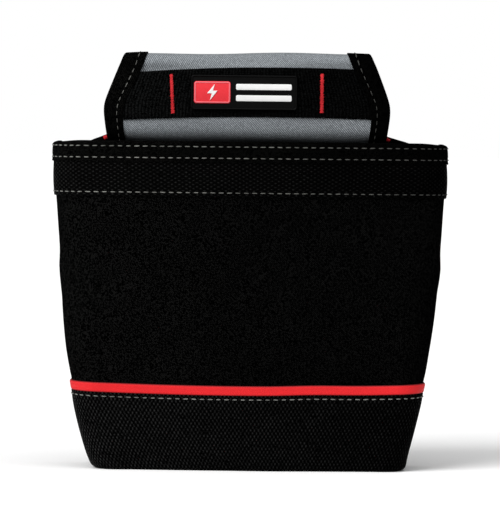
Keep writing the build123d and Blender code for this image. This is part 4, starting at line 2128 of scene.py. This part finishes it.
            zero = np.zeros_like(height)
            piece = self.tack_stitch.build(
                f"bar_tack_{name}", zero, height, zero, place, 40 + seed, lean=0.10
            )
            self.settle(piece, self.finishes.red_thread, f"strap_tack_{name}")

    def corner_tacks(self) -> None:
        """Short red bar tacks where the shoulders meet the edge tapes."""
        for seed, (side, name) in enumerate(((-1, "left"), (1, "right"))):
            low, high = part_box(f"corner_tack_{name}")
            inner, outer = sorted((low.x, high.x), key=abs)
            across = self.tack_stitch.centres(-1.1 * MM, 1.1 * MM)

            def place(up: Array, sideways: Array, out: Array) -> Array:
                """Points on the shoulder's front, turned to lie along its slanting edge.

                Args:
                    up: Distance up the tack.
                    sideways: Distance across it.
                    out: Distance out from the shoulder.

                Returns:
                    The points, with x, y and z last.
                """
                x = inner + side * (sideways + 0.3 * up - 0.8 * MM)
                z = (low.z + high.z) / 2.0 + 1.9 * MM + up - 0.45 * sideways
                return np.stack(np.broadcast_arrays(x, high.y - 0.2 * MM - out, z), -1)

            zero = np.zeros_like(across)
            piece = self.tack_stitch.build(
                f"corner_bar_tack_{name}", zero, across, zero, place, 50 + seed, lean=0.12
            )
            self.settle(piece, self.finishes.red_thread, f"corner_tack_{name}")

    def build(self) -> None:
        """Make every piece of the tunnel."""
        self.flap()
        self.lining()
        self.hem()
        self.strap()
        self.edge_tapes()
        self.strap_tacks()
        self.corner_tacks()


@dataclass
class Badge(Assembly):
    """The rubber badge on the strap: plate, raised rim, red tile, bolt and two bars."""

    edge_round: float = 0.35 * MM

    def _outline(self, half_x: float, half_z: float, radius: float, sides: int = 8) -> Array:
        """A rectangle with round corners, anticlockwise, shaped (n, 2).

        Each corner is a quarter circle about a centre that is radius inside both edges.

        Args:
            half_x: Half the width.
            half_z: Half the height.
            radius: Radius of the corners.
            sides: Points on each corner.

        Returns:
            The outline.
        """
        angle = np.linspace(0.0, math.pi / 2.0, sides)
        quarter = radius * np.stack([np.cos(angle), np.sin(angle)], -1)
        centre = np.array([half_x - radius, half_z - radius])
        first = centre + quarter
        second = np.stack([-first[::-1, 0], first[::-1, 1]], -1)
        return np.concatenate([first, second, -first, -second])

    def _stack(self, name: str, loops: Array, depth: Array, centre: Vector) -> bpy.types.Object:
        """Join a stack of loops with quads and close it with a flat face at each end.

        Args:
            name: The piece's name.
            loops: The loops' points from the centre, shaped (loops, n, 2).
            depth: How far each loop stands in front of the centre.
            centre: The middle of the back face.

        Returns:
            The finished stack.
        """
        depth = np.broadcast_to(depth[:, None], loops.shape[:2])
        x, z = centre.x + loops[..., 0], centre.z + loops[..., 1]
        points = np.stack([x, centre.y - depth, z], -1)
        rows, size = points.shape[:2]
        faces = np.roll(grid_quads(rows, size)[:, ::-1], 1, axis=1).tolist()
        faces += [list(range(size))[::-1], list(range((rows - 1) * size, rows * size))]
        flat = points.reshape(-1, 3)
        return Surface(flat, faces, by_corner(flat[:, [0, 2]], faces)).to_object(name)

    def _plate(self, name: str, node: str, radius: float) -> bpy.types.Object:
        """A plate the size of a node, its front edge rounded over a quarter circle.

        Loop k is the outline moved inwards along its own normals by e (1 - cos a), at
        t - e + e sin a in front of the back face.

        Args:
            name: The piece's name.
            node: The node.
            radius: Radius of the outline's corners.

        Returns:
            The finished plate.
        """
        low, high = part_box(node)
        half_x, half_z = (high.x - low.x) / 2.0, (high.z - low.z) / 2.0
        thick = high.y - low.y
        angle = np.linspace(0.0, math.pi / 2.0, 5)
        edge = min(self.edge_round, thick * 0.8)
        rounding = np.stack([edge * (1 - np.cos(angle)), thick - edge + edge * np.sin(angle)], -1)
        levels = np.concatenate([[[0.0, 0.0]], rounding])
        centre = Vector(((low.x + high.x) / 2.0, high.y, (low.z + high.z) / 2.0))
        outline = self._outline(half_x, half_z, radius)
        loops = outline[None] + inward_normals(outline)[None] * levels[:, 0, None, None]
        return self._stack(name, loops, levels[:, 1], centre)

    def _ridge(
        self, name: str, low: Vector, high: Vector, radius: float, width: float
    ) -> bpy.types.Object:
        """A round-topped ridge carried once round a rectangle with round corners.

        At angle a from 0 to pi the ridge is w/2 (1 - cos a) inside the outline and h sin a
        in front of its foot.

        Args:
            name: The piece's name.
            low: The box's low corner; its Y is the ridge's top.
            high: The box's high corner; its Y is the ridge's foot.
            radius: Radius of the outline's corners.
            width: The ridge's width.

        Returns:
            The finished ridge.
        """
        half_x, half_z = (high.x - low.x) / 2.0, (high.z - low.z) / 2.0
        angle = np.linspace(0.0, math.pi, 9)
        ridge = np.stack([width / 2 * (1 - np.cos(angle)), (high.y - low.y) * np.sin(angle)], -1)
        outline = self._outline(half_x, half_z, radius)
        loops = outline[:, None] + inward_normals(outline)[:, None] * ridge[None, :, :1]
        x = (low.x + high.x) / 2.0 + loops[..., 0]
        z = (low.z + high.z) / 2.0 + loops[..., 1]
        y = np.broadcast_to(high.y - ridge[None, :, 1], x.shape)
        points = np.stack([x, y, z], -1)
        faces = grid_quads(*points.shape[:2], closed=True).tolist()
        flat = points.reshape(-1, 3)
        return Surface(flat, faces, by_corner(flat[:, [0, 2]], faces)).outward().to_object(name)

    def rims(self) -> None:
        """The raised rim round the plate, and a lip round the red tile in a paler red, a painted
        highlight on the tile's bevel.
        """
        low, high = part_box("badge_rim")
        rim = self._ridge("badge_rim_ridge", low, high, 2.0 * MM, 1.2 * MM)
        self.settle(rim, self.finishes.badge_black, "badge_rim")
        low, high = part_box("badge_tile")
        foot = low.y + 0.15 * MM
        lip_low = Vector((low.x + 0.3 * MM, foot - 0.45 * MM, low.z + 0.3 * MM))
        lip_high = Vector((high.x - 0.3 * MM, foot, high.z - 0.3 * MM))
        # The lip's paler red is a painted highlight on the tile's bevel.
        lip = self._ridge("badge_tile_lip", lip_low, lip_high, 1.5 * MM, 0.9 * MM)
        self.settle(lip, self.finishes.badge_red_highlight)

    def bolt(self) -> None:
        """A plain lightning bolt: a six-cornered zigzag raised off the tile."""
        low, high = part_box("badge_bolt")
        half = (high.z - low.z) / 2.0
        zigzag = [
            (0.30, 1.00), (-0.62, -0.12), (-0.06, -0.12), (-0.30, -1.00), (0.62, 0.20), (0.06, 0.20)
        ]
        corners = np.array(zigzag) * half
        thick = high.y - low.y
        loops = np.stack([corners, corners, corners * 0.94])
        depth = np.array([0.0, thick * 0.7, thick])
        centre = Vector(((low.x + high.x) / 2.0, high.y, (low.z + high.z) / 2.0))
        piece = self._stack("badge_bolt_mark", loops, depth, centre)
        flat_faces = np.zeros(len(piece.data.polygons), dtype=bool)
        piece.data.polygons.foreach_set("use_smooth", flat_faces)
        self.settle(piece, self.finishes.badge_white, "badge_bolt")

    def build(self) -> None:
        """Make the badge from its plates, its rim and its plain marks."""
        plate = self._plate("badge_plate", "badge_base", 2.0 * MM)
        self.settle(plate, self.finishes.badge_black, "badge_base")
        self.rims()
        tile = self._plate("badge_red_tile", "badge_tile", 1.7 * MM)
        self.settle(tile, self.finishes.badge_red, "badge_tile")
        for name in ("upper", "lower"):
            bar = self._plate(f"badge_white_bar_{name}", f"badge_bar_{name}", 0.9 * MM)
            self.settle(bar, self.finishes.badge_white, f"badge_bar_{name}")
        self.bolt()


@dataclass
class Studio:
    """The pale floor, the soft lights and the camera.

    Attributes:
        floor_radius: Radius of the floor.
        camera_distance: How far in front of the pouch the camera stands.
        camera_height: The camera's height.
        field_height: Height of what the camera sees at the front cloth.
        field_middle: The height that the camera looks at.
        aim_x: The x that the camera stands at and looks at.
        surround: Strength of the surround as light.
        roll: Turn of the camera about its own axis.
    """

    floor_radius: float = 14.0
    camera_distance: float = 3.2
    camera_height: float = 0.244
    field_height: float = 0.3298
    field_middle: float = 0.1325
    aim_x: float = 0.0005
    surround: float = 0.3
    roll: float = math.radians(0.6)

    def floor(self) -> None:
        """A wide pale disc at height 0, one ring of points round a centre."""
        angle = np.linspace(0.0, TAU, 97)[:-1]
        ring = self.floor_radius * np.stack([np.cos(angle), np.sin(angle), angle * 0.0], -1)
        mesh = bpy.data.meshes.new("floor")
        mesh.from_pydata(ring.tolist(), [], [list(range(len(ring)))])
        made = bpy.data.objects.new("floor", mesh)
        bpy.context.scene.collection.objects.link(made)
        graph = Graph("pale_floor")
        tone = graph.noise(2.0, 2.0)
        colour = graph.blend_colours(tone, (0.93, 0.93, 0.93), (0.95, 0.95, 0.95))
        made.data.materials.append(graph.principled(colour, 0.9, None, 0.0))

    def sky(self) -> None:
        """A white surround that is seen at full strength and lights the pouch more weakly."""
        world = bpy.data.worlds.new("soft_white")
        world.use_nodes = True
        tree = world.node_tree
        background = tree.nodes["Background"]
        background.inputs[0].default_value = (1.0, 1.0, 1.0, 1.0)
        rays = tree.nodes.new("ShaderNodeLightPath")
        strength = tree.nodes.new("ShaderNodeMapRange")
        strength.inputs["To Min"].default_value = self.surround
        strength.inputs["To Max"].default_value = 1.0
        tree.links.new(rays.outputs["Is Camera Ray"], strength.inputs["Value"])
        tree.links.new(strength.outputs[0], background.inputs[1])
        bpy.context.scene.world = world

    def lamp(self, name: str, side: Vector, spread: float, strength: float) -> None:
        """One broad, even light from a direction, with soft shadows.

        Args:
            name: The light's name.
            side: The direction that it shines from.
            spread: How wide it looks, in degrees.
            strength: Its strength in watts to the square metre.
        """
        light = bpy.data.lights.new(name, "SUN")
        light.angle = math.radians(spread)
        light.energy = strength
        made = bpy.data.objects.new(name, light)
        made.location = side
        made.rotation_euler = (-side).to_track_quat("-Z", "Y").to_euler()
        bpy.context.scene.collection.objects.link(made)

    def camera(self) -> None:
        """A long lens in front, a little above the rim, rolled very slightly."""
        data = bpy.data.cameras.new("camera")
        place = Vector((self.aim_x, -self.camera_distance, self.camera_height))
        aim = Vector((self.aim_x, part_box("front_panel")[0].y, self.field_middle))
        distance = (aim - place).length
        data.lens = data.sensor_width * distance / self.field_height
        data.clip_end = 100.0
        made = bpy.data.objects.new("camera", data)
        made.location = place
        made.rotation_mode = "QUATERNION"
        look = (aim - place).to_track_quat("-Z", "Y")
        turn = Vector((0.0, 0.0, 1.0))
        made.rotation_quaternion = look @ Quaternion(turn, self.roll)
        bpy.context.scene.collection.objects.link(made)
        bpy.context.scene.camera = made

    def build(self) -> None:
        """Set the whole stage and choose plain colours."""
        bpy.context.scene.view_settings.view_transform = "Standard"
        self.floor()
        self.sky()
        self.lamp("key", Vector((-1.5, -1.8, 1.6)), 40.0, 2.9)
        self.lamp("top", Vector((0.3, -0.9, 2.2)), 60.0, 1.3)
        self.camera()


def main() -> None:
    """Build every sub-assembly in order, then the stage."""
    logging.basicConfig(level=logging.INFO, format="%(message)s")
    finishes = Finishes()
    wall = WallShape.from_frame()
    loop = LoopShape.from_frame()
    back = BackShape.from_frame(wall, loop)
    Bag("bag", finishes, wall, back).build()
    Mouth("bag", finishes, wall).build()
    Back("bag", finishes, back).build()
    Tunnel("tunnel", finishes, loop).build()
    Badge("tunnel", finishes).build()
    Studio().build()


if __name__ == "__main__":
    main()
